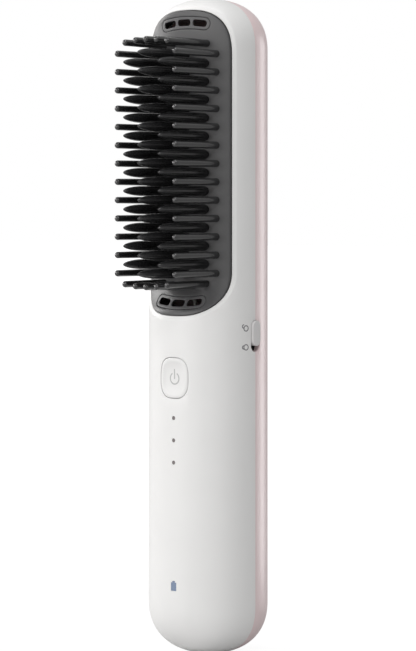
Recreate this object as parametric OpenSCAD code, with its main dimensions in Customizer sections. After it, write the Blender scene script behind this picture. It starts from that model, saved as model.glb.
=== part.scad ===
// Cordless hair straightening comb, standing on its lower end.
// +Z runs up the body, the teeth point to -Y, and the two shells part on the plane y = 0.
// "Out" in a name or comment is the distance in front of that parting plane, so out = -y.

/* [Body] */
// Overall length of the body
body_length = 205; // [201:1:225]
// Width of the body, side to side
body_width = 38.4; // [37.8:0.2:42]
// Depth of the body, front to back, without the teeth
body_depth = 33.2; // [32.6:0.2:37]
// Power of the oval cross-section, 2 is an ellipse
section_power = 2.2; // [2.1:0.05:2.5]
// Height of each rounded end
end_height = 16.4; // [15:0.2:19]
// Power of the curve of the rounded ends
end_power = 2.3; // [2.1:0.05:2.5]
// Half width of the small flat on the lower end
base_flat = 5.2; // [5:0.1:6.5]
// Wall of both shells
shell_wall = 1.8; // [1.5:0.1:2]

/* [Comb plate] */
// Width of the white rim beside the comb plate
rim_width = 2.95; // [2.8:0.05:3.4]
// Width of the flattened band around the comb plate
rim_band = 1.4; // [1:0.1:1.6]
// Drop of that band below the plate's surface
rim_drop = 0.45; // [0.3:0.05:0.6]
// Distance from the top of the body to the comb plate
plate_top_margin = 4.1; // [3.6:0.1:6]
// Length of the comb plate's opening
plate_length = 95; // [92:0.5:96]
// Height of the opening's rounded ends
plate_end = 14.5; // [13:0.5:17]
// Power of the opening's rounded ends
plate_power = 2.7; // [2.3:0.1:3]
// Depth of the plate's middle below the front of the body
plate_sink = 4.9; // [4.7:0.1:5.4]
// Radius of the plate's crown from side to side
plate_arc = 40; // [36:0.5:60]
// Thickness of the plate
plate_thickness = 1.6; // [1.3:0.1:1.8]
// Radius of the ramp at the plate's lower end
ramp_radius = 18; // [17:0.5:26]
// Length of the ramp
ramp_length = 13.6; // [12:0.2:14.4]
// Gap between the plate and the rim
plate_gap = 0.35; // [0.2:0.05:0.4]

/* [Teeth] */
// Least distance from the last guarded row to the plate's end
field_margin = 13.5; // [13.5:0.1:16]
// Distance from one guarded row to the next
row_pitch = 5.65; // [5.3:0.05:5.7]
// Distance of the guard columns from the middle
guard_x = 11.76; // [11.6:0.02:12]
// Distance of the outer blade columns from the middle
blade_x = 7.03; // [6.9:0.01:7.3]
// Distance that the comb sits below the plate's middle
comb_drop = 0.3; // [0:0.1:0.4]
// Distance from the parting plane to the tips of the guard teeth
guard_reach = 30.25; // [26:0.25:33]
// Diameter of a guard tooth at its root
guard_root = 2.2; // [1.9:0.1:2.3]
// Diameter of a guard tooth at its tip
guard_tip = 1.84; // [1.4:0.02:1.9]
// Guard teeth in the arc at each end
arc_teeth = 5; // [3:2:5]
// Distance from one arc tooth to the next
arc_pitch = 4.3; // [3.8:0.1:4.4]
// Distance of the arcs beyond the last guarded rows
arc_gap = 4; // [3.9:0.1:4.4]
// Drop of an arc from its middle to its outer teeth
arc_sag = 0.7; // [0.3:0.1:0.8]
// Distance from the parting plane to the tips of the middle blades
middle_reach = 33.3; // [29:0.1:36]
// Distance from the parting plane to the tips of the outer blades
outer_reach = 32; // [28:0.1:35]
// Width of a blade at its root, across the comb
blade_width = 4.6; // [4:0.1:4.8]
// Height of a blade as a share of its width
blade_flatness = 0.66; // [0.55:0.01:0.68]
// Length of a blade's tapered end
blade_taper = 9.6; // [7:0.2:12]

/* [Vents] */
// Distance of each vent's middle from the plate's nearer end
vent_margin = 3.9; // [3.6:0.1:4.2]
// Length of one vent slot
slot_length = 5.1; // [4:0.1:5.2]
// Height of one vent slot
slot_height = 2; // [1.4:0.1:2.2]
// Distance from one slot to the next
slot_pitch = 6; // [5.8:0.1:6.3]
// Radius of the vent's curve
vent_arc = 50; // [40:1:80]
// Radius of the slots' corners
slot_corner = 0.85; // [0.5:0.05:1]
// Border of the vent grille above and below its slots
vent_border = 1; // [0.7:0.1:1.1]
// Border of the vent grille beyond its last slots
vent_end = 1.3; // [1.1:0.1:1.6]

/* [Power button] */
// Distance from the comb plate down to the button's middle
button_below_plate = 19.1; // [17:0.1:22]
// Width of the button
button_width = 11.7; // [10:0.1:12.4]
// Height of the button
button_height = 13.1; // [11:0.1:13.6]
// Radius of the button's corners
button_corner = 4.4; // [3:0.1:4.8]
// Depth of the dish in the button
button_dish = 0.4; // [0.2:0.05:0.6]
// Travel of the button
button_travel = 0.5; // [0.3:0.05:0.6]
// Gap around the button
button_gap = 0.15; // [0.1:0.01:0.2]

/* [Lamps] */
// Distance from the comb plate down to the first status lamp
lamp_below_plate = 31.6; // [30:0.1:36]
// Distance from one status lamp to the next
lamp_pitch = 6.9; // [5:0.1:7.5]
// Diameter of a status lamp
lamp_size = 1.2; // [0.9:0.1:1.6]
// Height of the battery lamp above the base
battery_lamp_z = 22.3; // [21:0.1:26]
// Width of the battery lamp
battery_lamp_width = 2.05; // [1.8:0.05:2.6]
// Height of the battery lamp
battery_lamp_height = 3; // [2.6:0.1:3.4]

/* [Lock slider] */
// Distance from the comb plate down to the slider's middle
slider_below_plate = 5.3; // [5:0.1:6]
// Length of the slider's knob
knob_length = 7.9; // [6:0.1:8.2]
// Width of the slider's knob
knob_width = 3.7; // [3:0.1:4]
// Height of the knob above the side of the body
knob_rise = 0.7; // [0.4:0.1:1.2]
// Travel of the slider
slider_travel = 1.8; // [1.2:0.1:1.9]

/* [Battery and boards] */
// Diameter of the battery cell
battery_diameter = 20.9; // [18:0.1:21.2]
// Distance from the battery's top up to the comb plate
battery_below_plate = 21.5; // [21:0.5:30]
// Thickness of the boards
board_thickness = 1.2; // [1:0.1:1.3]
// Width of the main board
board_width = 18; // [17:0.5:18.4]
// Diameter of the screws' shanks
screw_shank = 1.6; // [1.4:0.1:1.7]

/* [Hidden] */

// Facets of true circles, which are kept as circles
fine = 48;
// Steps around half of the oval and up each rounded end of the shells
half_steps = 40;
end_steps = 8;
// Steps around half of a vent and around each of its round ends
vent_steps = 8;
// Small overlap of pieces that are cut or joined
bite = 0.1;
// Gap between two parts that rest on each other without touching
rest_gap = 0.25;
// Running clearance of a guided part
run_gap = 0.15;

half_w = body_width / 2;
half_d = body_depth / 2;
inner_w = half_w - shell_wall;
inner_d = half_d - shell_wall;

// Comb plate
plate_high = body_length - plate_top_margin;
plate_low = plate_high - plate_length;
plate_mid = (plate_high + plate_low) / 2;
opening_half = half_w - rim_width;
plate_rise = half_d - plate_sink;
ramp_z = plate_low + ramp_length;
ramp_axis = plate_rise + ramp_radius;
skirt_wall = 1.15;
seat_thickness = 1.5;

// Teeth
comb_mid = plate_mid - comb_drop;
guard_rows = 1 + 2 * floor((plate_length / 2 - field_margin) / row_pitch);
half_field = row_pitch * (guard_rows - 1) / 2;
rail_half = 1.25;
ring_half_x = guard_x + rail_half;
ring_thickness = 1.55;
arc_z = half_field + arc_gap;
ring_half_z = arc_z + rail_half + 0.1;
ring_hole_z = arc_z - arc_sag - rail_half - 0.1;
ring_top = plate_rise - plate_thickness - sag(ring_half_x) - rest_gap;
ring_floor = ring_top - ring_thickness;
plate_seat = ring_floor - 0.9;

// Heater stack, from the teeth back to the screws
base_half_x = blade_x + blade_width / 2 + 0.5;
base_half_z = ring_hole_z - rest_gap / 2;
base_back = ring_floor + 0.9;
heater_thickness = 2;
insulator_thickness = 0.5;
bracket_front = base_back - heater_thickness - insulator_thickness;
bracket_thickness = 1.6;
bracket_back = bracket_front - bracket_thickness;
heater_width = 7.2;
heater_x = 5.6;
heater_in = 4.725;
heater_length = 2 * (base_half_z - heater_in);

// Screws
screw_hole = screw_shank + 0.1;
screw_pass = screw_shank + 0.5;
screw_head = 3.2;
head_height = 1.1;
boss_wall = 0.9;
bracket_boss_x = ring_half_x + 1.44;
bracket_boss_in = 7.725;
bracket_boss_z = base_half_z - bracket_boss_in;
bracket_boss_r = (screw_hole + boss_wall) / 2;
plate_boss_x = 11.3;
plate_boss_in = 5.7;
plate_boss_r = 2;

// Handle stack, from the front back to the battery
board_front = inner_d - 4.4;
board_back = board_front - board_thickness;
chassis_front = board_back - 0.8;
chassis_back = chassis_front - 1.4;
chassis_low = 14;
chassis_high = plate_low - 2.4;
chassis_half = 12.6;
battery_r = battery_diameter / 2;
sleeve_wall = 0.15;
battery_out = chassis_back - battery_r - sleeve_wall;
battery_low = 14.4;
battery_high = plate_low - battery_below_plate;
battery_length = battery_high - battery_low;
chassis_boss_x = 11.8;
chassis_boss_low = 22;
chassis_boss_high = chassis_high - 7.5;

// The battery lies in three saddles, the lowest above the chassis's lower screws
saddle_low = chassis_boss_low + 6.4;
saddle_high = battery_high - 14;
saddle_z = [saddle_low, (saddle_low + saddle_high) / 2, saddle_high];

// Power button
button_z = plate_low - button_below_plate;
button_flange = 1;
flange_thickness = 0.8;
flange_front = out_at(inner_w, inner_d, button_width / 2 + button_flange) - 0.2;
flange_back = flange_front - flange_thickness;
switch_size = 6;
switch_top = flange_back - button_travel - 0.15;
plunger_r = 1.6;

// Lamps
lamp_z = [for (i = [0:2]) plate_low - lamp_below_plate - i * lamp_pitch];
lamp_height = 0.7;
guide_foot = board_front + lamp_height + 0.2;

// Lock slider
slider_z = plate_low - slider_below_plate;
slot_width = knob_width + 2 * run_gap;
slot_low = slider_z - knob_length / 2 - slider_travel - bite;
slot_high = slider_z + knob_length / 2 + bite;
carrier_x = x_at(inner_w, inner_d, slot_width / 2 + 1.4) - run_gap;
carrier_thickness = 1;
carrier_half_y = slot_width / 2 + 1.2;
carrier_half_z = slot_high - slider_z + 1.2 + slider_travel;
switch_x = 7.6;
switch_depth = 3.4;
switch_length = 9;
lever_size = 1.4;
lock_board_half = 6.6;

// Charging socket
socket_width = 8.94;
socket_height = 3.26;
socket_length = 7.35;
socket_mouth = 0.3;
socket_wall = 0.3;
socket_gap = 0.15;
charging_board_low = 4.6;
charging_board_high = battery_low - 1.2;
charging_post_z = charging_board_high - 2.4;
charging_post_x = 5.8;

// Snap tabs that hold the shells together
snap_z = [28, 68, plate_mid - 24, plate_mid + 24];

// Signed power, for the oval curves
function signed_pow(v, p) = sign(v) * pow(abs(v), 2 / p);

// Depth and half width of an oval with half axes a and b at a given x or depth
function out_at(a, b, x) = b * pow(1 - pow(abs(x) / a, section_power), 1 / section_power);
function x_at(a, b, out) = a * pow(1 - pow(abs(out) / b, section_power), 1 / section_power);

// Fall of the plate's crown at a distance from its middle
function sag(x) = plate_arc - sqrt(plate_arc * plate_arc - x * x);

// One level of a shell: its share of the full section, and its height above or below the straight part
base_angle = asin(pow(base_flat / half_w, end_power / 2));
crown_angle = 3;
function end_levels(first) = [
    for (i = [0:end_steps])
        let (t = first + (90 - first) * i / end_steps)
        [pow(sin(t), 2 / end_power), pow(cos(t), 2 / end_power)]
];
low_levels = end_levels(base_angle);
high_levels = end_levels(crown_angle);
straight_low = end_height * low_levels[0][1];
straight_high = body_length - end_height * high_levels[0][1];
levels = concat(
    [for (l = low_levels) [l[0], straight_low, -l[1]]],
    [for (i = [end_steps:-1:0]) [high_levels[i][0], straight_high, high_levels[i][1]]]
);

// Half of an oval, seen from above, from +X round the front to -X
function half_oval(a, b) = [
    for (i = [0:half_steps])
        let (t = 180 * i / half_steps)
        [a * signed_pow(cos(t), section_power), -b * signed_pow(sin(t), section_power)]
];

function half_rings(inset) = [
    for (l = levels)
        for (p = half_oval((half_w - inset) * l[0], (half_d - inset) * l[0]))
            [p[0], p[1], l[1] + (end_height - inset) * l[2]]
];

// Faces between ring k and the next one, n points a ring, from a first point on
function strip(k, n, first, outside) = [
    for (i = [0:half_steps - 1])
        let (a = first + k * n + i, b = a + n)
        outside ? [a, a + 1, b + 1, b] : [a, b, b + 1, a + 1]
];

// The front half of the body, inset from its outside, as a solid
module filled_half(inset) {
    n = half_steps + 1;
    last = len(levels) - 1;
    polyhedron(
        points = half_rings(inset),
        faces = concat(
            [for (k = [0:last - 1]) for (f = strip(k, n, 0, true)) f],
            [for (k = [0:last - 1]) [k * n, k * n + n, k * n + 2 * n - 1, k * n + n - 1]],
            [[for (i = [n - 1:-1:0]) i]],
            [[for (i = [0:n - 1]) last * n + i]]
        ),
        convexity = 6
    );
}

// The front half of the body as a hollow shell, open on the parting plane
module hollow_half() {
    n = half_steps + 1;
    last = len(levels) - 1;
    inner = n * len(levels);
    polyhedron(
        points = concat(half_rings(0), half_rings(shell_wall)),
        faces = concat(
            [for (k = [0:last - 1]) for (f = strip(k, n, 0, true)) f],
            [for (k = [0:last - 1]) for (f = strip(k, n, inner, false)) f],
            [for (k = [0:last - 1]) [k * n, k * n + n, inner + k * n + n, inner + k * n]],
            [for (k = [0:last - 1])
                [k * n + n - 1, inner + k * n + n - 1, inner + k * n + 2 * n - 1, k * n + 2 * n - 1]],
            [[for (i = [n - 1:-1:0]) i]],
            [[for (i = [0:n - 1]) inner + i]],
            [[inner, inner + n - 1, n - 1, 0]],
            [[for (i = [0:n - 1]) last * n + i]],
            [[for (i = [n - 1:-1:0]) inner + last * n + i]],
            [[inner + last * n + n - 1, inner + last * n, last * n, last * n + n - 1]]
        ),
        convexity = 8
    );
}

// Extrudes a shape drawn in x and z from one distance out to another
module forward(from, to) {
    translate([0, -from, 0])
        rotate([90, 0, 0])
        linear_extrude(to - from)
        children();
}

// A round post that points out, at a place in x and z
module post(x, z, r, from, to) {
    translate([x, -from, z])
        rotate([90, 0, 0])
        cylinder(r = r, h = to - from, $fn = fine);
}

// A box between two limits in x, out and z
module block(x, out, z) {
    translate([x[0], -out[1], z[0]])
        cube([x[1] - x[0], out[1] - out[0], z[1] - z[0]]);
}

// Limits at the same distance on both sides of a middle
function around(middle, half) = [middle - half, middle + half];

// Limits in x from near to far, on the +X side for s = 1 and on the -X side for s = -1
function side(s, near, far) = s > 0 ? [near, far] : [-far, -near];

// A rectangle with round corners, about the origin
module rounded_rectangle(w, h, r) {
    square([w - 2 * r, h], center = true);
    square([w, h - 2 * r], center = true);
    for (x = [-1, 1], y = [-1, 1])
        translate([x * (w / 2 - r), y * (h / 2 - r)])
            circle(r = r, $fn = fine);
}

// A screw whose head lies behind what it holds, with its shank pointing out
module screw(x, z, head_from, length) {
    post(x, z, screw_head / 2, head_from - head_height, head_from);
    post(x, z, screw_shank / 2, head_from - bite, head_from + length);
}

// A round bar from one point to another
module bar(a, b, r) {
    v = b - a;
    translate(a)
        rotate([0, acos(v[2] / norm(v)), atan2(v[1], v[0])])
        cylinder(r = r, h = norm(v), $fn = fine);
}

// A wire along a list of points, a little thicker where it bends
knuckle = 1.2;
module wire(route, r) {
    for (i = [0:len(route) - 2])
        bar(route[i], route[i + 1], r);
    for (i = [1:len(route) - 2])
        translate(route[i])
            sphere(r = r * knuckle, $fn = fine);
}

// Outline of the comb plate's opening in x and z
function opening_end(half, height, up, from) = [
    for (i = [0:24])
        let (t = from + 180 * i / 24)
        [
            half * signed_pow(cos(t), plate_power),
            up + height * signed_pow(sin(t), plate_power),
        ]
];
module opening_outline(inset) {
    polygon(concat(
        opening_end(opening_half - inset, plate_end - inset, plate_high - plate_end, 0),
        opening_end(opening_half - inset, plate_end - inset, plate_low + plate_end, 180)
    ));
}

// Section of the crowned plate in x and out, lowered by a drop and cut off at a floor
module crown_section(drop, floor) {
    intersection() {
        translate([0, plate_rise - plate_arc])
            circle(r = plate_arc - drop, $fn = 180);
        translate([-half_w, floor])
            square([2 * half_w, half_d]);
    }
}

// All that lies under the plate's surface lowered by a drop, from a floor up
module under_crown(drop, floor) {
    ramp_angle = asin((ramp_length + 2) / ramp_radius);
    fill_r = ramp_axis - floor - bite;
    translate([0, 0, ramp_z - bite])
        linear_extrude(plate_high - ramp_z + 2)
        mirror([0, 1, 0])
        crown_section(drop, floor);
    translate([0, -ramp_axis, ramp_z])
        rotate([0, -90, 0])
        rotate([0, 0, 90])
        rotate_extrude(angle = ramp_angle, $fn = 180)
        translate([ramp_axis, 0])
        rotate([0, 0, 90])
        crown_section(drop, floor);
    difference() {
        block([-half_w, half_w], [floor, half_d - shell_wall], [plate_low - 2, ramp_z]);
        translate([-half_w - 1, -ramp_axis, ramp_z])
            rotate([0, 90, 0])
            cylinder(r = fill_r, h = 2 * half_w + 2, $fn = 180);
    }
}

// A straight stretch of the body's oval, to keep the ramp below the shell's surface
module body_clip(inset) {
    translate([0, 0, plate_low - 4])
        linear_extrude(plate_length + 10)
        polygon(concat(half_oval(half_w - inset, half_d - inset), [[-half_w, 0], [half_w, 0]]));
}

// A point at a distance from a middle, at an angle from straight up towards +X
function from_up(r, angle) = r * [sin(angle), cos(angle)];

// The curved band of a vent, with round ends, in x and z
module vent_band(z, bend, half_length, half_height) {
    turn = (half_length - half_height) / vent_arc * 180 / PI;
    n = vent_steps;
    translate([0, z - bend * vent_arc])
        rotate(bend > 0 ? 0 : 180)
        polygon(concat(
            [for (i = [n:-1:-n]) from_up(vent_arc + half_height, turn * i / n)],
            [for (i = [1:n - 1]) from_up(vent_arc, -turn) + from_up(half_height, -turn - 180 * i / n)],
            [for (i = [-n:n]) from_up(vent_arc - half_height, turn * i / n)],
            [for (i = [n - 1:-1:1]) from_up(vent_arc, turn) + from_up(half_height, turn + 180 * i / n)]
        ));
}
module vent_slots(z, bend) {
    centre = z - bend * vent_arc;
    for (i = [-1:1])
        translate([0, centre])
            rotate([0, 0, -bend * i * slot_pitch / vent_arc * 180 / PI])
            translate([0, bend * vent_arc])
            rounded_rectangle(slot_length, slot_height, slot_corner);
}
vent_half_length = slot_pitch + slot_length / 2 + vent_end;
vent_half_height = slot_height / 2 + vent_border;
vent_places = [[plate_high - vent_margin, 1], [plate_low + vent_margin, -1]];

// Tooth places in x and z
function row_z(i) = comb_mid - half_field + i * row_pitch;
guard_places = concat(
    [for (s = [-1, 1]) for (i = [0:guard_rows - 1]) [s * guard_x, row_z(i)]],
    [for (e = [-1, 1]) for (i = [0:arc_teeth - 1])
        let (k = i - (arc_teeth - 1) / 2)
        [k * arc_pitch, comb_mid + e * (arc_z - arc_sag * pow(2 * k / (arc_teeth - 1), 2))]]
);
middle_places = [for (i = [0:guard_rows - 1]) [0, row_z(i)]];
outer_places = [
    for (s = [-1, 1]) for (i = [0:guard_rows - 2]) [s * blade_x, row_z(i) + row_pitch / 2]
];

module guard_tooth(p) {
    tip_r = guard_tip / 2;
    taper = guard_reach - tip_r - ring_floor - bite;
    translate([p[0], -ring_floor - bite, p[1]])
        rotate([90, 0, 0]) {
            cylinder(r1 = guard_root / 2, r2 = tip_r, h = taper, $fn = fine);
            translate([0, 0, taper])
                sphere(r = tip_r, $fn = fine);
        }
}

// Half of a blade's outline: distance from its axis, and distance out
blade_tip_r = 0.3;
function blade_profile(from, reach) = let (
    root = blade_width / 2,
    shoulder = root * 0.92,
    taper_from = reach - blade_taper,
    wide = shoulder - blade_tip_r,
    tall = blade_taper - blade_tip_r
) concat(
    [[0, from], [root, from], [shoulder, taper_from]],
    [for (i = [1:6])
        let (t = 90 * i / 7)
        [blade_tip_r + wide * pow(cos(t), 1.25), taper_from + tall * sin(t)]],
    [[blade_tip_r * 0.9, reach - blade_tip_r * 0.5], [0, reach]]
);
module blade(p, reach) {
    from = base_back + bite;
    translate([p[0], 0, p[1]])
        rotate([90, 0, 0])
        scale([1, blade_flatness, 1])
        rotate_extrude($fn = fine)
        polygon(blade_profile(from, reach));
}

module front_shell() {
    color("white")
    difference() {
        union() {
            hollow_half();
            intersection() {
                filled_half(shell_wall / 2);
                union() {
                    front_shell_seats();
                    front_shell_bosses();
                    slider_guide(1);
                }
            }
        }
        forward(plate_seat, half_d + 1)
            opening_outline(0);
        rim_band_cut();
        front_shell_holes();
    }
}

// What is taken off the rim, so that it lies as a flat band just below the plate's surface
module rim_band_cut() {
    difference() {
        forward(plate_seat, half_d + 1)
            opening_outline(-rim_band);
        under_crown(rim_drop, 0);
    }
}

// Seats under the comb plate: two side ledges, and a lug for each plate screw
module front_shell_seats() {
    for (s = [-1, 1])
        block(
            side(s, opening_half - skirt_wall - plate_gap, half_w),
            [plate_seat - seat_thickness, plate_seat],
            [comb_mid - bracket_boss_z + 5, comb_mid + bracket_boss_z - 5]
        );
    for (s = [-1, 1], z = plate_boss_places)
        block(
            side(s, plate_boss_x - 2.4, half_w),
            [plate_seat - seat_thickness, plate_seat],
            [z - 3, z + 3]
        );
}
plate_boss_places = [plate_low + plate_boss_in, plate_high - plate_boss_in];

// Bosses that the chassis is screwed to
module front_shell_bosses() {
    for (s = [-1, 1], z = [chassis_boss_low, chassis_boss_high])
        post(s * chassis_boss_x, z, screw_shank / 2 + boss_wall + 0.5, chassis_front, half_d);
}

// Rib beside the slider's carrier, on the front shell for out = 1 and on the rear one for out = -1
module slider_guide(out) {
    near = carrier_half_y + run_gap;
    block([carrier_x - carrier_thickness - 1, half_w], side(out, near, near + 1),
        [slider_z - carrier_half_z - slider_travel, slider_z + carrier_half_z]);
}

module front_shell_holes() {
    forward(flange_front - 1, half_d + 1)
        button_outline(0);
    for (z = lamp_z)
        post(0, z, lamp_size / 2 + 0.05, inner_d - 1, half_d + 1);
    forward(inner_d - 1, half_d + 1)
        battery_symbol(0.06);
    for (s = [-1, 1], z = plate_boss_places)
        post(s * plate_boss_x, z, screw_pass / 2, plate_seat - seat_thickness - 1, plate_seat + 1);
    for (s = [-1, 1], z = [chassis_boss_low, chassis_boss_high])
        post(s * chassis_boss_x, z, screw_hole / 2, chassis_front - 1, chassis_front + 3.2);
    for (s = [-1, 1], z = snap_z)
        block(
            side(s, snap_face - 0.2, snap_face + 0.75),
            [1, 2.7],
            [z - 3.3, z + 3.3]
        );
    slider_slot();
    socket_cut();
}

// Where the shells' inner side stands at the snap tabs
snap_face = x_at(inner_w, inner_d, 2.6);

module slider_slot() {
    r = slot_width / 2;
    for (z = [slot_low + r, slot_high - r])
        translate([carrier_x, 0, z])
            rotate([0, 90, 0])
            cylinder(r = r, h = half_w, $fn = fine);
    block([carrier_x, carrier_x + half_w], [-r, r], [slot_low + r, slot_high - r]);
}

// The rounded oblong of the socket, in x and y
module socket_outline(grow) {
    r = socket_height / 2 + grow;
    w = socket_width / 2 - socket_height / 2;
    square([2 * w, 2 * r], center = true);
    for (s = [-1, 1])
        translate([s * w, 0])
            circle(r = r, $fn = fine);
}
module socket_cut() {
    translate([0, 0, -1])
        linear_extrude(shell_wall + 3)
        socket_outline(socket_gap);
}

module rear_shell() {
    color("mistyrose")
    difference() {
        union() {
            mirror([0, 1, 0])
                hollow_half();
            intersection() {
                mirror([0, 1, 0])
                    filled_half(shell_wall / 2);
                union() {
                    rear_shell_ribs();
                    slider_guide(-1);
                    snap_blocks();
                }
            }
            snap_tabs();
        }
        slider_slot();
        socket_cut();
    }
}

// Two ribs that hold the battery from behind
module rear_shell_ribs() {
    for (z = [battery_low + 6, battery_high - 6])
        difference() {
            block([-inner_w, inner_w], [-half_d, battery_out], [z - 1, z + 1]);
            translate([0, -battery_out, z - 2])
                cylinder(r = battery_r + sleeve_wall + rest_gap, h = 4, $fn = fine);
        }
}

// Blocks on the rear shell that carry the snap tabs
module snap_blocks() {
    for (s = [-1, 1], z = snap_z)
        block(
            side(s, snap_face - 1.35, half_w),
            [-3.5, -0.3],
            [z - 3, z + 3]
        );
}
module snap_tabs() {
    for (s = [-1, 1], z = snap_z)
        translate([0, 0, z - 3])
            linear_extrude(6)
            polygon([
                [s * (snap_face - 1.35), 0.3 + bite],
                [s * (snap_face - 0.15), 0.3 + bite],
                [s * (snap_face - 0.15), -1.2],
                [s * (snap_face + 0.4), -1.4],
                [s * (snap_face - 0.15), -2.4],
                [s * (snap_face - 1.35), -2.4],
            ]);
}

module comb_plate() {
    color("dimgray")
    difference() {
        union() {
            difference() {
                intersection() {
                    forward(plate_seat, half_d)
                        opening_outline(plate_gap);
                    body_clip(0.2);
                    under_crown(0, plate_seat - 1);
                }
                intersection() {
                    forward(plate_seat - 1, half_d)
                        opening_outline(plate_gap + skirt_wall);
                    body_clip(0.2 + plate_thickness);
                    under_crown(plate_thickness, plate_seat - 2);
                }
            }
            plate_bosses();
        }
        for (p = guard_places)
            post(p[0], p[1], guard_root / 2 + 0.06, plate_seat, half_d);
        for (p = concat(middle_places, outer_places))
            translate([p[0], -ring_floor, p[1]])
                rotate([90, 0, 0])
                scale([1, blade_flatness, 1])
                cylinder(r = blade_width / 2 + 0.1, h = half_d, $fn = fine);
        for (v = vent_places)
            forward(plate_seat, half_d + 1)
                vent_band(v[0], v[1], vent_half_length, vent_half_height);
        plate_boss_holes();
    }
}

// Bosses under the plate: four for the shell's lugs and four for the heater's bracket
module plate_bosses() {
    intersection() {
        union() {
            for (s = [-1, 1], z = plate_boss_places)
                post(s * plate_boss_x, z, plate_boss_r, plate_seat, half_d);
            for (s = [-1, 1], t = [-1, 1])
                post(s * bracket_boss_x, bracket_screw_z(t), bracket_boss_r, bracket_front, half_d);
        }
        forward(bracket_front - 1, half_d)
            opening_outline(plate_gap);
        body_clip(0.2 + plate_thickness / 2);
        under_crown(plate_thickness / 2, bracket_front - 1);
    }
}
module plate_boss_holes() {
    for (s = [-1, 1], z = plate_boss_places)
        post(s * plate_boss_x, z, screw_hole / 2, plate_seat - 1, plate_seat + 3.4);
    for (s = [-1, 1], t = [-1, 1])
        post(s * bracket_boss_x, bracket_screw_z(t), screw_hole / 2, bracket_front - 1, bracket_front + 2.4);
}

// A vent grille fills its hole in the plate and has a flange behind it
module vent_grille(v) {
    color("gray")
    difference() {
        intersection() {
            forward(plate_seat + 1, half_d)
                vent_band(v[0], v[1], vent_half_length - 0.08, vent_half_height - 0.08);
            under_crown(0, plate_seat - 1);
        }
        intersection() {
            block([-half_w, half_w], [0, half_d], [plate_low - 3, plate_high + 3]);
            under_crown(plate_thickness, plate_seat - 2);
        }
        forward(0, half_d + 1)
            vent_slots(v[0], v[1]);
    }
}
module upper_vent_grille() {
    vent_grille(vent_places[0]);
}
module lower_vent_grille() {
    vent_grille(vent_places[1]);
}

module guard_teeth() {
    color("black")
    union() {
        forward(ring_floor, ring_top)
            translate([0, comb_mid])
            difference() {
                rounded_rectangle(2 * ring_half_x, 2 * ring_half_z, 3);
                square([2 * (guard_x - rail_half), 2 * ring_hole_z], center = true);
            }
        for (p = guard_places)
            guard_tooth(p);
    }
}

module heated_comb() {
    color("black")
    difference() {
        union() {
            intersection() {
                translate([0, 0, comb_mid - base_half_z])
                    linear_extrude(2 * base_half_z)
                    mirror([0, 1, 0])
                    crown_section(plate_thickness + rest_gap, base_back);
                block([-base_half_x, base_half_x], [0, half_d], around(comb_mid, base_half_z));
            }
            for (p = middle_places)
                blade(p, middle_reach);
            for (p = outer_places)
                blade(p, outer_reach);
        }
        for (t = [-1:1])
            post(0, comb_screw_z(t), screw_hole / 2, base_back - 1, base_back + 2.6);
    }
}
function comb_screw_z(t) = comb_mid + t * heater_length / 2;
function bracket_screw_z(t) = comb_mid + t * bracket_boss_z;

module heater_plates() {
    color("silver")
    for (s = [-1, 1]) {
        block(
            around(s * heater_x, heater_width / 2),
            [base_back - heater_thickness, base_back],
            around(comb_mid, heater_length / 2)
        );
        block(
            around(s * heater_x, 1.2),
            around(terminal_out, 0.15),
            [terminal_z, comb_mid - heater_length / 2 + bite]
        );
    }
}
terminal_out = base_back - 1.55;
terminal_z = comb_mid - heater_length / 2 - 3;

module heater_insulator() {
    color("wheat")
    difference() {
        block(
            [-base_half_x, base_half_x],
            [bracket_front, bracket_front + insulator_thickness],
            around(comb_mid, heater_length / 2 + 2)
        );
        for (t = [-1:1])
            post(0, comb_screw_z(t), screw_pass / 2, 0, ring_top);
    }
}

// The bracket clamps the heaters on the comb and the guard ring on the plate
module heater_bracket() {
    plate_half_x = ring_half_x - 0.2;
    ear_end = bracket_boss_x + 1.2;
    color("darkgray")
    difference() {
        union() {
            block(around(0, plate_half_x), [bracket_back, bracket_front], around(comb_mid, base_half_z));
            for (s = [-1, 1])
                block(
                    around(s * guard_x, rail_half - 0.2),
                    [bracket_front - bite, ring_floor],
                    around(comb_mid, base_half_z)
                );
            for (s = [-1, 1], t = [-1, 1])
                block(
                    side(s, plate_half_x - 1, ear_end),
                    [bracket_back, bracket_front],
                    around(bracket_screw_z(t), 2.2)
                );
        }
        for (t = [-1:1])
            post(0, comb_screw_z(t), screw_pass / 2, bracket_back - 1, ring_top);
        for (s = [-1, 1], t = [-1, 1])
            post(s * bracket_boss_x, bracket_screw_z(t), screw_pass / 2, bracket_back - 1, ring_top);
        for (z = [fuse_z, sensor_z])
            block([-2.2, 2.2], [bracket_back - 1, bracket_front + 1], around(z, window_half));
    }
}
window_half = 8;
fuse_z = comb_mid - heater_length / 4;
sensor_z = comb_mid + heater_length / 4;

// The fuse and the sensor lie on the insulator, in the bracket's windows
module thermal_fuse() {
    r = 1.25;
    color("gold") {
        bar(at(0, bracket_front - r, fuse_z - 4.5), at(0, bracket_front - r, fuse_z + 4.5), r);
        for (s = [-1, 1])
            bar(at(0, bracket_front - r, fuse_z + s * 4.4), at(0, bracket_front - r, fuse_z + s * 7), 0.3);
    }
}
module temperature_sensor() {
    r = 0.9;
    color("saddlebrown") {
        translate(at(0, bracket_front - r, sensor_z + 3))
            sphere(r = r, $fn = fine);
        bar(at(0, bracket_front - r, sensor_z - 3), at(0, bracket_front - r, sensor_z + 3), 0.7);
    }
}

// A point given by x, its distance out and its height
function at(x, out, z) = [x, -out, z];

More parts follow.
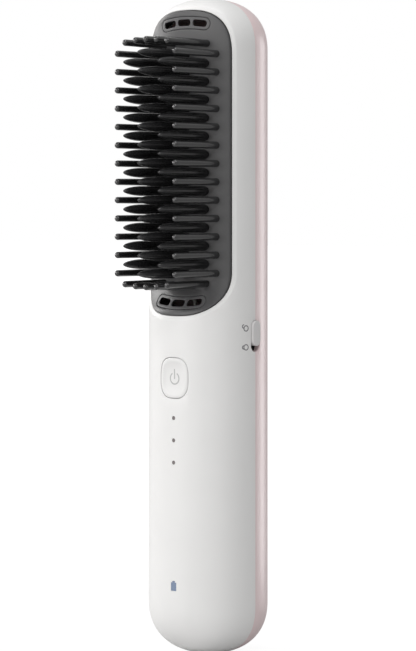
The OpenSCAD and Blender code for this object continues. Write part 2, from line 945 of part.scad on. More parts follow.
module bracket_screws() {
    color("silver")
    for (s = [-1, 1], t = [-1, 1])
        screw(s * bracket_boss_x, bracket_screw_z(t), bracket_back, bracket_thickness + 2.2);
}
module comb_screws() {
    color("silver")
    for (t = [-1:1])
        screw(0, comb_screw_z(t), bracket_back, base_back - bracket_back + 2.4);
}
module plate_screws() {
    color("silver")
    for (s = [-1, 1], z = plate_boss_places)
        screw(s * plate_boss_x, z, plate_seat - seat_thickness, seat_thickness + 3.2);
}

// Outline of the button's hole in x and z, grown by an amount
module button_outline(grow) {
    translate([0, button_z])
        rounded_rectangle(button_width + 2 * grow, button_height + 2 * grow, button_corner + grow);
}
module power_button() {
    dish_half = button_width / 2 - 1;
    dish_r = (dish_half * dish_half + button_dish * button_dish) / (2 * button_dish);
    color("white") {
        difference() {
            intersection() {
                forward(flange_front - bite, half_d + 1)
                    button_outline(-button_gap);
                translate([0, 0, button_z - button_height])
                    linear_extrude(2 * button_height)
                    polygon(half_oval(half_w, half_d));
            }
            translate(at(0, half_d - button_dish + dish_r, button_z))
                sphere(r = dish_r, $fn = fine);
        }
        forward(flange_back, flange_front)
            button_outline(button_flange);
    }
}
module switch_plunger() {
    color("black")
        post(0, button_z, plunger_r, switch_top - 0.9, flange_back);
}
module button_switch() {
    color("dimgray")
    difference() {
        block(around(0, switch_size / 2), [board_front, switch_top], around(button_z, switch_size / 2));
        post(0, button_z, plunger_r + 0.05, switch_top - 1 - button_travel, half_d);
    }
}

// The three pins end flush with the shell, and a bar behind the wall joins them
module status_light_guide() {
    shoulder = inner_d - 0.1;
    color("slategray") {
        for (z = lamp_z) {
            post(0, z, lamp_size / 2, shoulder - bite, half_d - 0.03);
            post(0, z, lamp_size / 2 + 0.5, guide_foot, shoulder);
        }
        block([-0.8, 0.8], [shoulder - 2.2, shoulder - 1], [lamp_z[2], lamp_z[0]]);
    }
}

// Outline of the battery lamp, a cell with its cap, in x and z
module battery_symbol(grow) {
    w = battery_lamp_width / 2 + grow;
    h = battery_lamp_height;
    translate([-w, battery_lamp_z - h / 2 - grow])
        square([2 * w, h * 0.84 + 2 * grow]);
    translate([-w * 0.5, battery_lamp_z])
        square([w, h / 2 + grow]);
}
module battery_lamp_lens() {
    w = battery_lamp_width / 2;
    color("lightsteelblue") {
        forward(inner_d - 0.3, half_d - 0.03)
            battery_symbol(0);
        block(around(0, w + 0.8), [inner_d - 1.3, inner_d - 0.2],
            around(battery_lamp_z, battery_lamp_height / 2 + 0.8));
        block(around(0, w), [guide_foot, inner_d - 1], around(battery_lamp_z, w));
    }
}
module lamps() {
    color("ivory")
    for (z = concat(lamp_z, [battery_lamp_z]))
        block([-0.8, 0.8], [board_front, board_front + lamp_height], around(z, 0.4));
}

board_low = chassis_low + 2;
board_high = chassis_high - 0.5;
board_screw_places = [[-6.4, board_low + 12], [6.4, board_high - 5]];
board_pad_places = [[6.4, board_low + 12], [-6.4, board_high - 5]];
module main_board() {
    color("darkgreen")
    difference() {
        block([-board_width / 2, board_width / 2], [board_back, board_front], [board_low, board_high]);
        for (p = board_screw_places)
            post(p[0], p[1], screw_pass / 2, board_back - 1, board_front + 1);
    }
}
board_mid = (board_low + board_high) / 2;

// A component on the front of the main board, its middle at x and so far up from the board's middle
module component(x, up, w, h, thickness) {
    block(around(x, w / 2), [board_front, board_front + thickness], around(board_mid + up, h / 2));
}
module board_components() {
    color("black") {
        component(-4, -16, 5, 5, 0.9);
        component(3.8, -9.5, 4, 4, 0.9);
        component(-4.75, -6.5, 4.5, 6, 1.6);
        component(4.5, -22.5, 6, 6, 2.4);
        for (up = [3.2, 11.2, 18.2])
            component(-5.4, up, 2.4, 1.4, 0.7);
        for (up = [0.15, 7.15, 14.15])
            component(5.1, up, 2.6, 1.3, 0.6);
    }
}

// A screw that goes in from the front, with its shank pointing back
module front_screw(x, z, face, length) {
    post(x, z, screw_head / 2, face, face + head_height);
    post(x, z, screw_shank / 2, face - length, face + bite);
}
module board_screws() {
    color("silver")
    for (p = board_screw_places)
        front_screw(p[0], p[1], board_front, board_front - chassis_back);
}

// Inner frame that carries the battery behind it and the main board in front
module chassis() {
    color("lightgray")
    difference() {
        union() {
            block([-chassis_half, chassis_half], [chassis_back, chassis_front], [chassis_low, chassis_high]);
            for (p = concat(board_screw_places, board_pad_places))
                post(p[0], p[1], 1.9, chassis_front - bite, board_back);
            for (z = saddle_z)
                block(around(0, battery_r + 1.6), [battery_out - 1.5, chassis_front], around(z, 1.5));
            for (s = [-1, 1], z = [battery_low - 1.2, battery_high + 0.2])
                block(around(s * 7.2, 1.4), [battery_out + 4, chassis_front], [z, z + 1]);
            for (s = [-1, 1]) {
                block(around(s * charging_post_x, 1.6), [chassis_back, chassis_front],
                    [charging_post_z - 1.6, chassis_low + 1]);
                post(s * charging_post_x, charging_post_z, 1.45, -socket_height / 2, chassis_back + bite);
            }
            for (x = [switch_x - board_thickness - 1.1, switch_x])
                block([x, x + 1.1], [chassis_back - 3, chassis_front], around(lock_mid, 2.5));
        }
        translate(at(0, battery_out, battery_low - 0.2))
            cylinder(r = battery_r + sleeve_wall + 0.08, h = battery_length + 0.4, $fn = fine);
        for (s = [-1, 1], z = [chassis_boss_low, chassis_boss_high])
            post(s * chassis_boss_x, z, screw_pass / 2, chassis_back - 1, chassis_front + 1);
        for (p = board_screw_places)
            post(p[0], p[1], screw_hole / 2, chassis_back - 0.2, board_back + 1);
        for (s = [-1, 1])
            post(s * charging_post_x, charging_post_z, screw_hole / 2, -socket_height / 2 - 1, 3.4);
        for (z = [battery_high + 1.3, chassis_high - 6.4])
            block([-5.2, 5.2], [chassis_back - 1, chassis_front + 1], [z, z + 5.2]);
    }
}
module chassis_screws() {
    color("silver")
    for (s = [-1, 1], z = [chassis_boss_low, chassis_boss_high])
        screw(s * chassis_boss_x, z, chassis_back, chassis_front - chassis_back + 3);
}

module battery_cell() {
    color("silver") {
        translate(at(0, battery_out, battery_low))
            cylinder(r = battery_r, h = battery_length, $fn = fine);
        translate(at(0, battery_out, battery_high - bite))
            cylinder(r = 3.6, h = 0.5 + bite, $fn = fine);
    }
}
module battery_sleeve() {
    lip = battery_r - 1.4;
    outer = battery_r + sleeve_wall;
    bottom = battery_low - sleeve_wall;
    top = battery_high + sleeve_wall;
    color("steelblue")
    translate(at(0, battery_out, 0))
        rotate_extrude($fn = fine)
        polygon([
            [battery_r, battery_low], [lip, battery_low], [lip, bottom], [outer, bottom],
            [outer, top], [lip, top], [lip, battery_high], [battery_r, battery_high],
        ]);
}
module battery_tabs() {
    color("gainsboro")
    for (z = [battery_low - 0.2, battery_high + 0.5])
        block([-2.5, 2.5], [battery_out - 2.5, battery_out + 6.5], [z, z + 0.2]);
}

module charging_board() {
    color("darkgreen")
    difference() {
        block([-7.4, 7.4], [-socket_height / 2 - board_thickness, -socket_height / 2],
            [charging_board_low, charging_board_high]);
        for (s = [-1, 1])
            post(s * charging_post_x, charging_post_z, screw_pass / 2, -socket_height, 1);
    }
}
module charging_board_screws() {
    behind = -socket_height / 2 - board_thickness;
    color("silver")
    for (s = [-1, 1])
        screw(s * charging_post_x, charging_post_z, behind, board_thickness + 3);
}
module charging_socket() {
    color("silver") {
        translate([0, 0, socket_mouth])
            difference() {
                linear_extrude(socket_length)
                    socket_outline(0);
                translate([0, 0, -1])
                    linear_extrude(socket_length + 0.6)
                    socket_outline(-socket_wall);
            }
        block([-3.35, 3.35], [-0.35, 0.35], [socket_mouth + 0.8, socket_mouth + socket_length - 0.2]);
    }
}

// The knob shows in the slot. Its carrier slides behind the shells and moves the switch's lever.
lock_mid = slider_z - slider_travel / 2;
lever_x = [switch_x + 1.6, carrier_x - carrier_thickness - 2.2];
module lock_slider() {
    r = knob_width / 2;
    fork_x = [lever_x[1] - 1.6, carrier_x - carrier_thickness + bite];
    color("gainsboro") {
        for (s = [-1, 1])
            translate([carrier_x - bite, 0, slider_z + s * (knob_length / 2 - r)])
                rotate([0, 90, 0])
                cylinder(r = r, h = half_w + knob_rise - carrier_x + bite, $fn = fine);
        block([carrier_x - bite, half_w + knob_rise], [-r, r], around(slider_z, knob_length / 2 - r));
        block([carrier_x - carrier_thickness, carrier_x], around(0, carrier_half_y),
            around(slider_z, carrier_half_z));
        for (s = [-1, 1])
            block(fork_x, [-1, 1], around(slider_z + s * (lever_size / 2 + 0.65), 0.6));
    }
}
module lock_switch_lever() {
    color("white")
        block(lever_x, around(0, lever_size / 2), around(slider_z, lever_size / 2));
}
module lock_switch() {
    color("dimgray")
    difference() {
        block([switch_x, switch_x + switch_depth], [-1.9, 1.9], around(lock_mid, switch_length / 2));
        block([switch_x + 1.5, switch_x + switch_depth + 1], around(0, lever_size / 2 + 0.06),
            around(lock_mid, (slider_travel + lever_size) / 2 + 0.1));
    }
}
module lock_board() {
    color("darkgreen")
        block([switch_x - board_thickness, switch_x], [-lock_board_back, chassis_back],
            [lock_mid - lock_board_half, lock_mid + 3.4]);
}
lock_board_back = 3.6;

module battery_wires() {
    r = 0.6;
    up = battery_high + 0.7;
    down = battery_low - 0.2;
    color("red") {
        wire([
            at(0, battery_out + 5, up),
            at(0, battery_out + 5, up + 1.2),
            at(0, battery_out + 7.5, up + 3.2),
            at(0, board_back, up + 3.2),
        ], r);
        wire([
            at(-1.8, battery_out + 5.6, down),
            at(-1.8, battery_out + 5.6, down - 1.2),
            at(-2.4, chassis_back, down - 2.4),
            at(-4.6, board_front + 1.3, board_low - 1.6),
            at(-4.6, board_front + 1.3, board_low + 3),
            at(-4.6, board_front, board_low + 3),
        ], r);
    }
}
module charging_wires() {
    start = -socket_height / 2;
    color("black")
    for (i = [0, 1])
        let (x = 0.9 + 1.5 * i, board_x = 3.4 + 1.6 * i)
        wire([
            at(x, start, charging_board_high - 1),
            at(x, start + 2, charging_board_high - 1),
            at(x, chassis_front, charging_board_high - 1.6),
            at(board_x, board_front + 1.2, board_low - 1),
            at(board_x, board_front + 1.2, board_low + 2),
            at(board_x, board_front, board_low + 2),
        ], 0.45);
}
module heater_wires() {
    from = chassis_high - 3.4;
    color("white")
    for (s = [-1, 1])
        wire([
            at(s * 4.4, board_back, from),
            at(s * 4.4, 2.5, from),
            at(s * 4.4, 0.8, chassis_high + 0.5),
            at(s * 4.6, 0.8, plate_low + 4),
            at(s * heater_x, terminal_out, terminal_z - 4.2),
            at(s * heater_x, terminal_out, terminal_z),
        ], 0.5);
}
module sensor_wires() {
    r = 0.3;
    from = chassis_high - 4;
    behind = bracket_back - r * knuckle - 0.05;
    end_out = bracket_front - 0.9;
    color("ivory")
    for (i = [0, 1])
        let (x = 2.6 + i, end_x = 0.84 * i - 0.42)
        wire([
            at(x - 2, board_back, from),
            at(x - 2, 2.2, from),
            at(x, behind, plate_low + 2),
            at(x, behind, sensor_z - window_half - 4),
            at(end_x, behind, sensor_z - window_half + 0.5),
            at(end_x, end_out, sensor_z - 4.6),
            at(end_x, end_out, sensor_z - 3),
        ], r);
}

front_shell();
rear_shell();
comb_plate();
upper_vent_grille();
lower_vent_grille();
guard_teeth();
heated_comb();
heater_plates();
heater_insulator();
heater_bracket();
thermal_fuse();
temperature_sensor();
bracket_screws();
comb_screws();
plate_screws();
power_button();
switch_plunger();
button_switch();
status_light_guide();
battery_lamp_lens();
lamps();
main_board();
board_components();
board_screws();
chassis();
chassis_screws();
battery_cell();
battery_sleeve();
battery_tabs();
charging_board();
charging_board_screws();
charging_socket();
lock_slider();
lock_switch_lever();
lock_switch();
lock_board();
battery_wires();
charging_wires();
heater_wires();
sensor_wires();
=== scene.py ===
# %% [markdown]
# # A cordless hair straightening comb
#
# The object is a pocket heated comb: an oval body of two shells, a dark plate sunk into its front, 73 black
# teeth, a button, four little lamps and a lock slider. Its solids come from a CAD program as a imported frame.
# This lesson dresses that frame: it makes smooth outer pieces and small signs, and finishes every piece.
#
# All sizes are in millimetres, as on a ruler. A piece is turned into metres when it is finished.

# %% Load the frame
from math import asin, atan2, copysign, cos, hypot, pi, radians, sin, sqrt, tan

import bmesh
import bpy
from mathutils import Matrix, Vector


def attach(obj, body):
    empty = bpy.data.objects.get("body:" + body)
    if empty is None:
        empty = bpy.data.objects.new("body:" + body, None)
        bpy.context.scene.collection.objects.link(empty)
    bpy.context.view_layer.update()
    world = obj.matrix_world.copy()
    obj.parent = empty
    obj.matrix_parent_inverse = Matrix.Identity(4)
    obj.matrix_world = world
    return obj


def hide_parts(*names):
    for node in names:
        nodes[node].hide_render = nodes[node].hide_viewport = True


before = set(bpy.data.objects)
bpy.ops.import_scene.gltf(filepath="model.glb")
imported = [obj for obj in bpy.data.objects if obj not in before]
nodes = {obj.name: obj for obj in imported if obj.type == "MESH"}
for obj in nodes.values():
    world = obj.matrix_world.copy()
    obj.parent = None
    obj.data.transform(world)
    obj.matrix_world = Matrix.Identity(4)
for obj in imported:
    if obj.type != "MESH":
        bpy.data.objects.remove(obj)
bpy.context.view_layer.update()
MM = 0.001

# %% [markdown]
# ## The camera
#
# The camera stands at the front right, with a long lens held level near the top of the comb. The part below
# is brought into the frame by shifting the lens. A tilt would make the upright sides lean.

# %% Camera
AZIMUTH = radians(40)
DISTANCE = 770
EYE_HEIGHT = 140.3
LENS, SHIFT = 135.2, -0.1851
scene = bpy.context.scene


def new_object(name, data):
    made = bpy.data.objects.new(name, data)
    scene.collection.objects.link(made)
    return made


camera = new_object("camera", bpy.data.cameras.new("camera"))
camera.location = Vector((sin(AZIMUTH) * DISTANCE, -cos(AZIMUTH) * DISTANCE, EYE_HEIGHT)) * MM
camera.rotation_euler = (radians(90), 0, AZIMUTH)
camera.data.sensor_width = 36
camera.data.lens = LENS
camera.data.shift_y = SHIFT
camera.data.clip_start = 0.01
scene.camera = camera
print("camera at", [round(v, 3) for v in camera.location], "lens", camera.data.lens)

# %% [markdown]
# ## Light
#
# The photograph is a studio picture on white. A broad soft light stands on the left, so the white front is
# brightest there and falls off to a soft grey on the right. The white ground is only what camera rays see,
# and a shadow on the floor still shows. A narrow lamp close behind the comb adds the soft streak on the pink
# shell, because a glancing view makes any plastic shine.

# %% World and floor
scene.view_settings.view_transform = "Standard"


def link(tree, *wires):
    """Links nodes. Each wire is a start, its output, an end and its input."""
    for start, socket_out, end, socket_in in wires:
        tree.links.new(start.outputs[socket_out], end.inputs[socket_in])


def set_inputs(node, inputs):
    for socket, value in inputs.items():
        node.inputs[socket].default_value = value


def add_node(tree, kind, inputs=None, **values):
    """Adds a shader node, and sets its values and then its inputs."""
    made = tree.nodes.new("ShaderNode" + kind)
    for name, value in values.items():
        setattr(made, name, value)
    set_inputs(made, inputs or {})
    return made


world = bpy.data.worlds.new("studio")
scene.world = world
world.use_nodes = True
sky = world.node_tree
sky.nodes.clear()
path = add_node(sky, "LightPath")
seen = add_node(sky, "Math", operation="MAXIMUM")
fill = add_node(sky, "Background", {"Color": (1.0, 0.995, 0.99, 1), "Strength": 0.48})
white = add_node(sky, "Background", {"Color": (1, 1, 1, 1), "Strength": 1.0})
choose = add_node(sky, "MixShader")
sky_out = add_node(sky, "OutputWorld")
link(sky, (path, "Is Camera Ray", seen, 0), (path, "Is Transmission Ray", seen, 1), (seen, 0, choose, 0),
     (fill, 0, choose, 1), (white, 0, choose, 2), (choose, 0, sky_out, 0))

FLOOR_HALF = 6
floor_mesh = bmesh.new()
bmesh.ops.create_grid(floor_mesh, x_segments=1, y_segments=1, size=FLOOR_HALF)
floor_data = bpy.data.meshes.new("floor")
floor_mesh.to_mesh(floor_data)
floor_mesh.free()
floor = new_object("floor", floor_data)


def new_material(name, inputs):
    """A material, with its tree, its main shader and the node that gives Object coordinates."""
    made = bpy.data.materials.new(name)
    made.use_nodes = True
    tree = made.node_tree
    skin = tree.nodes["Principled BSDF"]
    set_inputs(skin, inputs)
    return made, tree, skin, add_node(tree, "TexCoord")


# The floor's glow is for the camera only. It fades near the comb's foot, from 40 cm away to 5 cm.
pale = {"Base Color": (0.6, 0.6, 0.6, 1), "Roughness": 0.9}
ground, tree, base, where = new_material("pale_floor", pale)
glow = add_node(tree, "Emission", {"Strength": 1.14})
ray = add_node(tree, "LightPath")
away = add_node(tree, "VectorMath", operation="LENGTH")
fade_range = {"From Min": 0.05, "From Max": 0.40, "To Min": 0.82, "To Max": 1.0}
fade = add_node(tree, "MapRange", fade_range, interpolation_type="SMOOTHSTEP")
share = add_node(tree, "Math", operation="MULTIPLY")
mix = add_node(tree, "MixShader")
link(tree, (where, "Object", away, 0), (away, "Value", fade, "Value"), (fade, "Result", share, 0),
     (ray, "Is Camera Ray", share, 1), (share, 0, mix, 0), (base, 0, mix, 1), (glow, 0, mix, 2),
     (mix, 0, tree.nodes["Material Output"], 0))
floor_data.materials.append(ground)
print("world fill", fill.inputs["Strength"].default_value)

# %% Lamps


def soft_box(name, place, aim, size, watts, colour=(1, 1, 1)):
    """A rectangular studio lamp, placed and aimed in millimetres."""
    data = bpy.data.lights.new(name, "AREA")
    data.shape = "RECTANGLE"
    data.size, data.size_y = size[0] * MM, size[1] * MM
    data.energy = watts
    data.color = colour
    lamp = new_object(name, data)
    lamp.location = Vector(place) * MM
    lamp.rotation_euler = (Vector(aim) - Vector(place)).to_track_quat("-Z", "Y").to_euler()
    lamp.visible_camera = False
    return lamp


MIDDLE = (0, 0, 110)


def around(azimuth, distance, z):
    """A place around the comb: azimuth in degrees from straight in front towards +X."""
    turn = radians(azimuth)
    return (distance * sin(turn), -distance * cos(turn), z)


WARM = (1.0, 0.985, 0.975)
soft_box("key", around(-18, 900, 330), MIDDLE, (700, 700), 3.6, WARM)
soft_box("left_strip", around(-75, 700, 360), MIDDLE, (120, 300), 2.1, WARM)
soft_box("right_high", around(45, 690, 690), MIDDLE, (160, 160), 1.3)
streak = soft_box("back_streak", around(156, 140, 112), (0, 0, 112), (46, 222), 0.155)
streak.visible_diffuse = False
soft_box("top", (0, -60, 800), MIDDLE, (200, 200), 1.1)

# %% [markdown]
# ## Finishes
#
# Nearly all of the comb is moulded plastic, which is never one flat colour: the pigment is a little uneven
# over centimetres, and the fine grain of the mould scatters the light. One helper makes such a plastic from a
# colour, a roughness and the size of its grain. The patterns use Object coordinates, so they stay fixed to
# the piece.

# %% Moulded plastic
CLOUD_SIZE = 14


def two_tones(tree, colour, shares, places=(0, 1)):
    """A colour ramp between two shares of one colour."""
    shade = add_node(tree, "ValToRGB")
    for stop, part, place in zip(shade.color_ramp.elements, shares, places):
        stop.position = place
        stop.color = [min(c * part, 1) for c in colour] + [1]
    return shade


def moulded(name, colour, rough, grain=0.35, depth=0.006, uneven=0.03, coat=0.0):
    """A plastic with slightly uneven pigment and a fine grain. Grain and depth are in millimetres."""
    made, tree, skin, where = new_material(name, {"Coat Weight": coat, "Coat Roughness": 0.12})
    cloud = add_node(tree, "TexNoise", {"Scale": 1 / (CLOUD_SIZE * MM), "Detail": 3})
    shade = two_tones(tree, colour, (1 - uneven, 1 + uneven), (0.3, 0.7))
    sparks = add_node(tree, "TexNoise", {"Scale": 1 / (grain * MM), "Detail": 4})
    polish = add_node(tree, "MapRange", {"To Min": rough - 0.05, "To Max": rough + 0.05})
    relief = add_node(tree, "Bump", {"Strength": 1.0, "Distance": depth * MM})
    link(tree, (where, "Object", cloud, "Vector"), (cloud, "Fac", shade, "Fac"),
         (shade, "Color", skin, "Base Color"), (where, "Object", sparks, "Vector"),
         (sparks, "Fac", polish, "Value"), (polish, "Result", skin, "Roughness"),
         (sparks, "Fac", relief, "Height"), (relief, "Normal", skin, "Normal"))
    return made


shell_white = moulded("shell_white", (0.80, 0.80, 0.795), 0.38, uneven=0.01)
shell_pink = moulded("shell_pink", (0.78, 0.64, 0.645), 0.34, uneven=0.012)
plate_grey = moulded("plate_grey", (0.075, 0.075, 0.077), 0.40, grain=0.3, depth=0.01, uneven=0.05)
vent_grey = moulded("vent_grey", (0.085, 0.085, 0.088), 0.45, grain=0.3, depth=0.01, uneven=0.05)
guard_black = moulded("guard_black", (0.024, 0.024, 0.025), 0.24, 0.3, depth=0.003, uneven=0.08, coat=0.7)
comb_black = moulded("comb_black", (0.020, 0.020, 0.021), 0.26, 0.22, depth=0.003, uneven=0.10, coat=0.4)
button_white = moulded("button_white", (0.78, 0.78, 0.775), 0.36, uneven=0.01)
# The slider's material also paints shade, near black, on the carrier behind the shell (see below).
slider_pale_and_painted_shade = moulded("slider_pale_and_painted_shade", (0.70, 0.69, 0.69), 0.34, uneven=0.015)
sign_grey = moulded("sign_grey", (0.20, 0.20, 0.21), 0.5, uneven=0.03)
sign_pale = moulded("sign_pale", (0.46, 0.46, 0.46), 0.5, uneven=0.03)
print("plastics:", len(bpy.data.materials))

# %% [markdown]
# The slider's knob is pale. Its carrier behind the shell gets a painted shade, near black, so that the open
# end of its slot reads as a hole. One material does both: it compares the Object coordinate with the depth
# where the knob starts.

# %% The slider's pale knob and its painted shade
KNOB_FOOT = 17.3
FIRST_COLOUR, SECOND_COLOUR, MIXED_COLOUR = 6, 7, 2

tree = slider_pale_and_painted_shade.node_tree
shade = next(node for node in tree.nodes if node.type == "VALTORGB")
where = next(node for node in tree.nodes if node.type == "TEX_COORD")
sides = add_node(tree, "SeparateXYZ")
outside = add_node(tree, "Math", {1: KNOB_FOOT * MM}, operation="GREATER_THAN")
tones = add_node(tree, "Mix", data_type="RGBA")
# This near-black colour is painted shade for the slot's dark end, laid on the carrier behind the shell.
tones.inputs[FIRST_COLOUR].default_value = (0.02, 0.02, 0.02, 1)
link(tree, (where, "Object", sides, 0), (sides, "X", outside, 0), (outside, 0, tones, 0),
     (shade, "Color", tones, SECOND_COLOUR),
     (tones, MIXED_COLOUR, tree.nodes["Principled BSDF"], "Base Color"))
print("slider tones change at x", KNOB_FOOT)

# %% [markdown]
# Inside there are metals, circuit boards and insulated wires. They hardly show, but each has its own look, so
# that the comb can also be shown with its shells taken off. Brushed metal is a noise that is stretched along
# the piece. A circuit board is green lacquer with paler tracks, made from a pattern of bricks.

# %% Metal, boards and wires


def metal(name, colour, rough):
    """Bare metal with fine scratches along Z."""
    made, tree, skin, where = new_material(name, {"Metallic": 1.0})
    turn = add_node(tree, "Mapping", {"Scale": (1, 1, 1 / 12)})
    scratches = add_node(tree, "TexNoise", {"Scale": 1 / (0.12 * MM), "Detail": 5})
    shade = two_tones(tree, colour, (0.8, 1.1))
    polish = add_node(tree, "MapRange", {"To Min": rough - 0.08, "To Max": rough + 0.1})
    link(tree, (where, "Object", turn, "Vector"), (turn, "Vector", scratches, "Vector"),
         (scratches, "Fac", shade, "Fac"), (shade, "Color", skin, "Base Color"),
         (scratches, "Fac", polish, "Value"), (polish, "Result", skin, "Roughness"))
    return made


def circuit_board(name):
    made, tree, skin, where = new_material(name, {"Coat Weight": 0.4, "Roughness": 0.45})
    turn = add_node(tree, "Mapping", {"Rotation": (radians(90), 0, 0)})
    tracks = add_node(tree, "TexBrick", {
        "Scale": 1 / (4.0 * MM), "Mortar Size": 0.04, "Mortar": (0.05, 0.20, 0.09, 1),
        "Color1": (0.010, 0.085, 0.035, 1), "Color2": (0.014, 0.105, 0.045, 1),
    })
    link(tree, (where, "Object", turn, "Vector"), (turn, "Vector", tracks, "Vector"),
         (tracks, "Color", skin, "Base Color"))
    return made


steel = metal("plated_steel", (0.62, 0.61, 0.60), 0.30)
cell_can = metal("cell_can", (0.66, 0.66, 0.67), 0.32)
pressed = metal("pressed_metal", (0.70, 0.70, 0.71), 0.38)
fuse_case = metal("fuse_case", (0.75, 0.62, 0.38), 0.30)
board_green = circuit_board("board_green")
ceramic = moulded("heater_ceramic", (0.70, 0.68, 0.62), 0.55, grain=0.15, depth=0.01)
film_amber = moulded("film_amber", (0.45, 0.24, 0.05), 0.25, coat=0.3)
sleeve_blue = moulded("sleeve_blue", (0.03, 0.10, 0.30), 0.28, coat=0.4)
chip_black = moulded("chip_black", (0.02, 0.02, 0.022), 0.45)
chassis_grey = moulded("chassis_grey", (0.30, 0.30, 0.31), 0.5)
lever_white = moulded("lever_white", (0.72, 0.72, 0.70), 0.45)
lamp_pale = moulded("lamp_pale", (0.75, 0.72, 0.50), 0.3, coat=0.5)
wire_red = moulded("wire_red", (0.40, 0.015, 0.012), 0.42, grain=0.6)
wire_black = moulded("wire_black", (0.015, 0.015, 0.016), 0.42, grain=0.6)
wire_white = moulded("wire_white", (0.68, 0.67, 0.63), 0.42, grain=0.6)
sensor_brown = moulded("sensor_brown", (0.14, 0.05, 0.02), 0.25, coat=0.6)

# %% [markdown]
# The small lamps shine through tinted clear plastic. While they are off it looks dark and glossy, with a
# little depth, so it gets a clear coat over a tinted body.

# %% Lamp windows
dot_tint = moulded("dot_tint", (0.17, 0.15, 0.15), 0.22, coat=0.6, uneven=0.05)
lens_blue = moulded("lens_blue", (0.19, 0.25, 0.37), 0.22, coat=0.6, uneven=0.05)

# %% Give each solid its finish
WORN_BY = {
    shell_white: ["front_shell"], shell_pink: ["rear_shell"], plate_grey: ["comb_plate"],
    vent_grey: ["upper_vent_grille", "lower_vent_grille"], guard_black: ["guard_teeth"],
    comb_black: ["heated_comb"], button_white: ["power_button"], slider_pale_and_painted_shade: ["lock_slider"],
    dot_tint: ["status_light_guide"], lens_blue: ["battery_lamp_lens"], lamp_pale: ["lamps"],
    ceramic: ["heater_plates"], film_amber: ["heater_insulator"], pressed: ["heater_bracket"],
    fuse_case: ["thermal_fuse"], sensor_brown: ["temperature_sensor"], chassis_grey: ["chassis"],
    cell_can: ["battery_cell"], sleeve_blue: ["battery_sleeve"], lever_white: ["lock_switch_lever"],
    board_green: ["main_board", "charging_board", "lock_board"],
    chip_black: ["switch_plunger", "button_switch", "board_components", "lock_switch"],
    steel: ["bracket_screws", "comb_screws", "plate_screws", "board_screws", "chassis_screws",
            "charging_board_screws", "battery_tabs", "charging_socket"],
    wire_red: ["battery_wires"], wire_black: ["charging_wires"], wire_white: ["heater_wires", "sensor_wires"],
}


def dress(data, finish):
    data.materials.clear()
    data.materials.append(finish)


for finish, names in WORN_BY.items():
    for name in names:
        dress(nodes[name].data, finish)
print("finished solids:", sum(len(names) for names in WORN_BY.values()))

# %% [markdown]
# ## The body's form
#
# The body's section is a slightly squared ellipse, and its two ends are squared domes. Both are
# superellipses, so one power sets how square each is. Every part that meets the skin, such as the rim of the
# opening or a sign, needs to know where the skin lies. So the form is written once as a function.

# %% The skin as a function
LENGTH, WIDTH, DEPTH = 205.0, 38.4, 33.2
SECTION_POWER, END_POWER = 2.2, 2.3
END_HEIGHT, BASE_FLAT, WALL = 16.4, 5.2, 1.8
HALF_W, HALF_D = WIDTH / 2, DEPTH / 2
LEAST_SHARE = 0.0004
TOP_ANGLE = radians(3)
base_angle = asin((BASE_FLAT / HALF_W) ** (END_POWER / 2))
LOW = END_HEIGHT * cos(base_angle) ** (2 / END_POWER)
HIGH = LENGTH - END_HEIGHT * cos(TOP_ANGLE) ** (2 / END_POWER)


def signed_power(value, power):
    """A sine or cosine bent so that it draws a superellipse of a power."""
    return copysign(abs(value) ** (2 / power), value)


def share_at(z):
    """The body's section at a height, as a share of its full size."""
    beyond = max(LOW - z, z - HIGH, 0) / END_HEIGHT
    return max(1 - beyond ** END_POWER, LEAST_SHARE) ** (1 / END_POWER)


def oval_at(across, high, part):
    """The height of an oval at a distance from its middle. Its half axes are across and high."""
    inside = 1 - min(abs(part) / across, 1) ** SECTION_POWER
    return high * inside ** (1 / SECTION_POWER)


def skin_out(x, z):
    """How far the skin lies in front of the parting plane at a place in x and z."""
    return oval_at(HALF_W * share_at(z), HALF_D * share_at(z), x)


def skin_side(y, z):
    """How far the skin lies to the right of the middle at a place in y and z."""
    return oval_at(HALF_D * share_at(z), HALF_W * share_at(z), y)


print("skin at the middle", skin_out(0, 100), "and near the rim", round(skin_out(16, 150), 2))

# %% [markdown]
# The comb plate is crowned from side to side, and at its lower end it climbs to the skin on a round ramp.
# Near the skin it stays just below it. The corner between the two is blended, because a moulded plate has no
# hard crease there.

# %% The plate's surface as a function
PLATE_HIGH, PLATE_LOW = 200.9, 105.9
OPENING_HALF, PLATE_END, PLATE_POWER = 16.25, 14.5, 2.7
PLATE_RISE, PLATE_ARC = 11.7, 46.0
RAMP_Z, RAMP_RADIUS = 119.5, 18.0
PLATE_SEAT, PLATE_BELOW_SKIN, PLATE_BLEND = 5.225, 0.2, 0.3
SEAT_GAP = 0.03


def soft_min(a, b):
    """The smaller of two values, with the corner between them rounded."""
    return (a + b - hypot(a - b, PLATE_BLEND)) / 2


def crown_out(x, z):
    """How far the crown and its ramp lie in front of the parting plane."""
    sag = PLATE_ARC - sqrt(PLATE_ARC ** 2 - x * x)
    drop = max(RAMP_Z - z, 0)
    return PLATE_RISE + RAMP_RADIUS - sqrt((RAMP_RADIUS + sag) ** 2 - drop ** 2)


def plate_out(x, z):
    return soft_min(crown_out(x, z), skin_out(x, z) - PLATE_BELOW_SKIN)


print("plate at the middle", round(plate_out(0, 150), 2), "and at its lower end", round(plate_out(0, 106), 2))

# %% Helpers that start and finish a piece
MERGE = 1e-4


def smooth_by_angle(bm, degrees):
    """Smooth shading, with the edges that turn more than an angle kept sharp."""
    for face in bm.faces:
        face.smooth = True
    for edge in bm.edges:
        edge.smooth = len(edge.link_faces) == 2 and edge.calc_face_angle(0) < radians(degrees)


def as_object(bm, name):
    """A plain object in millimetres, such as a cutter or an unfinished piece."""
    bmesh.ops.recalc_face_normals(bm, faces=bm.faces)
    data = bpy.data.meshes.new(name)
    bm.to_mesh(data)
    bm.free()
    return new_object(name, data)


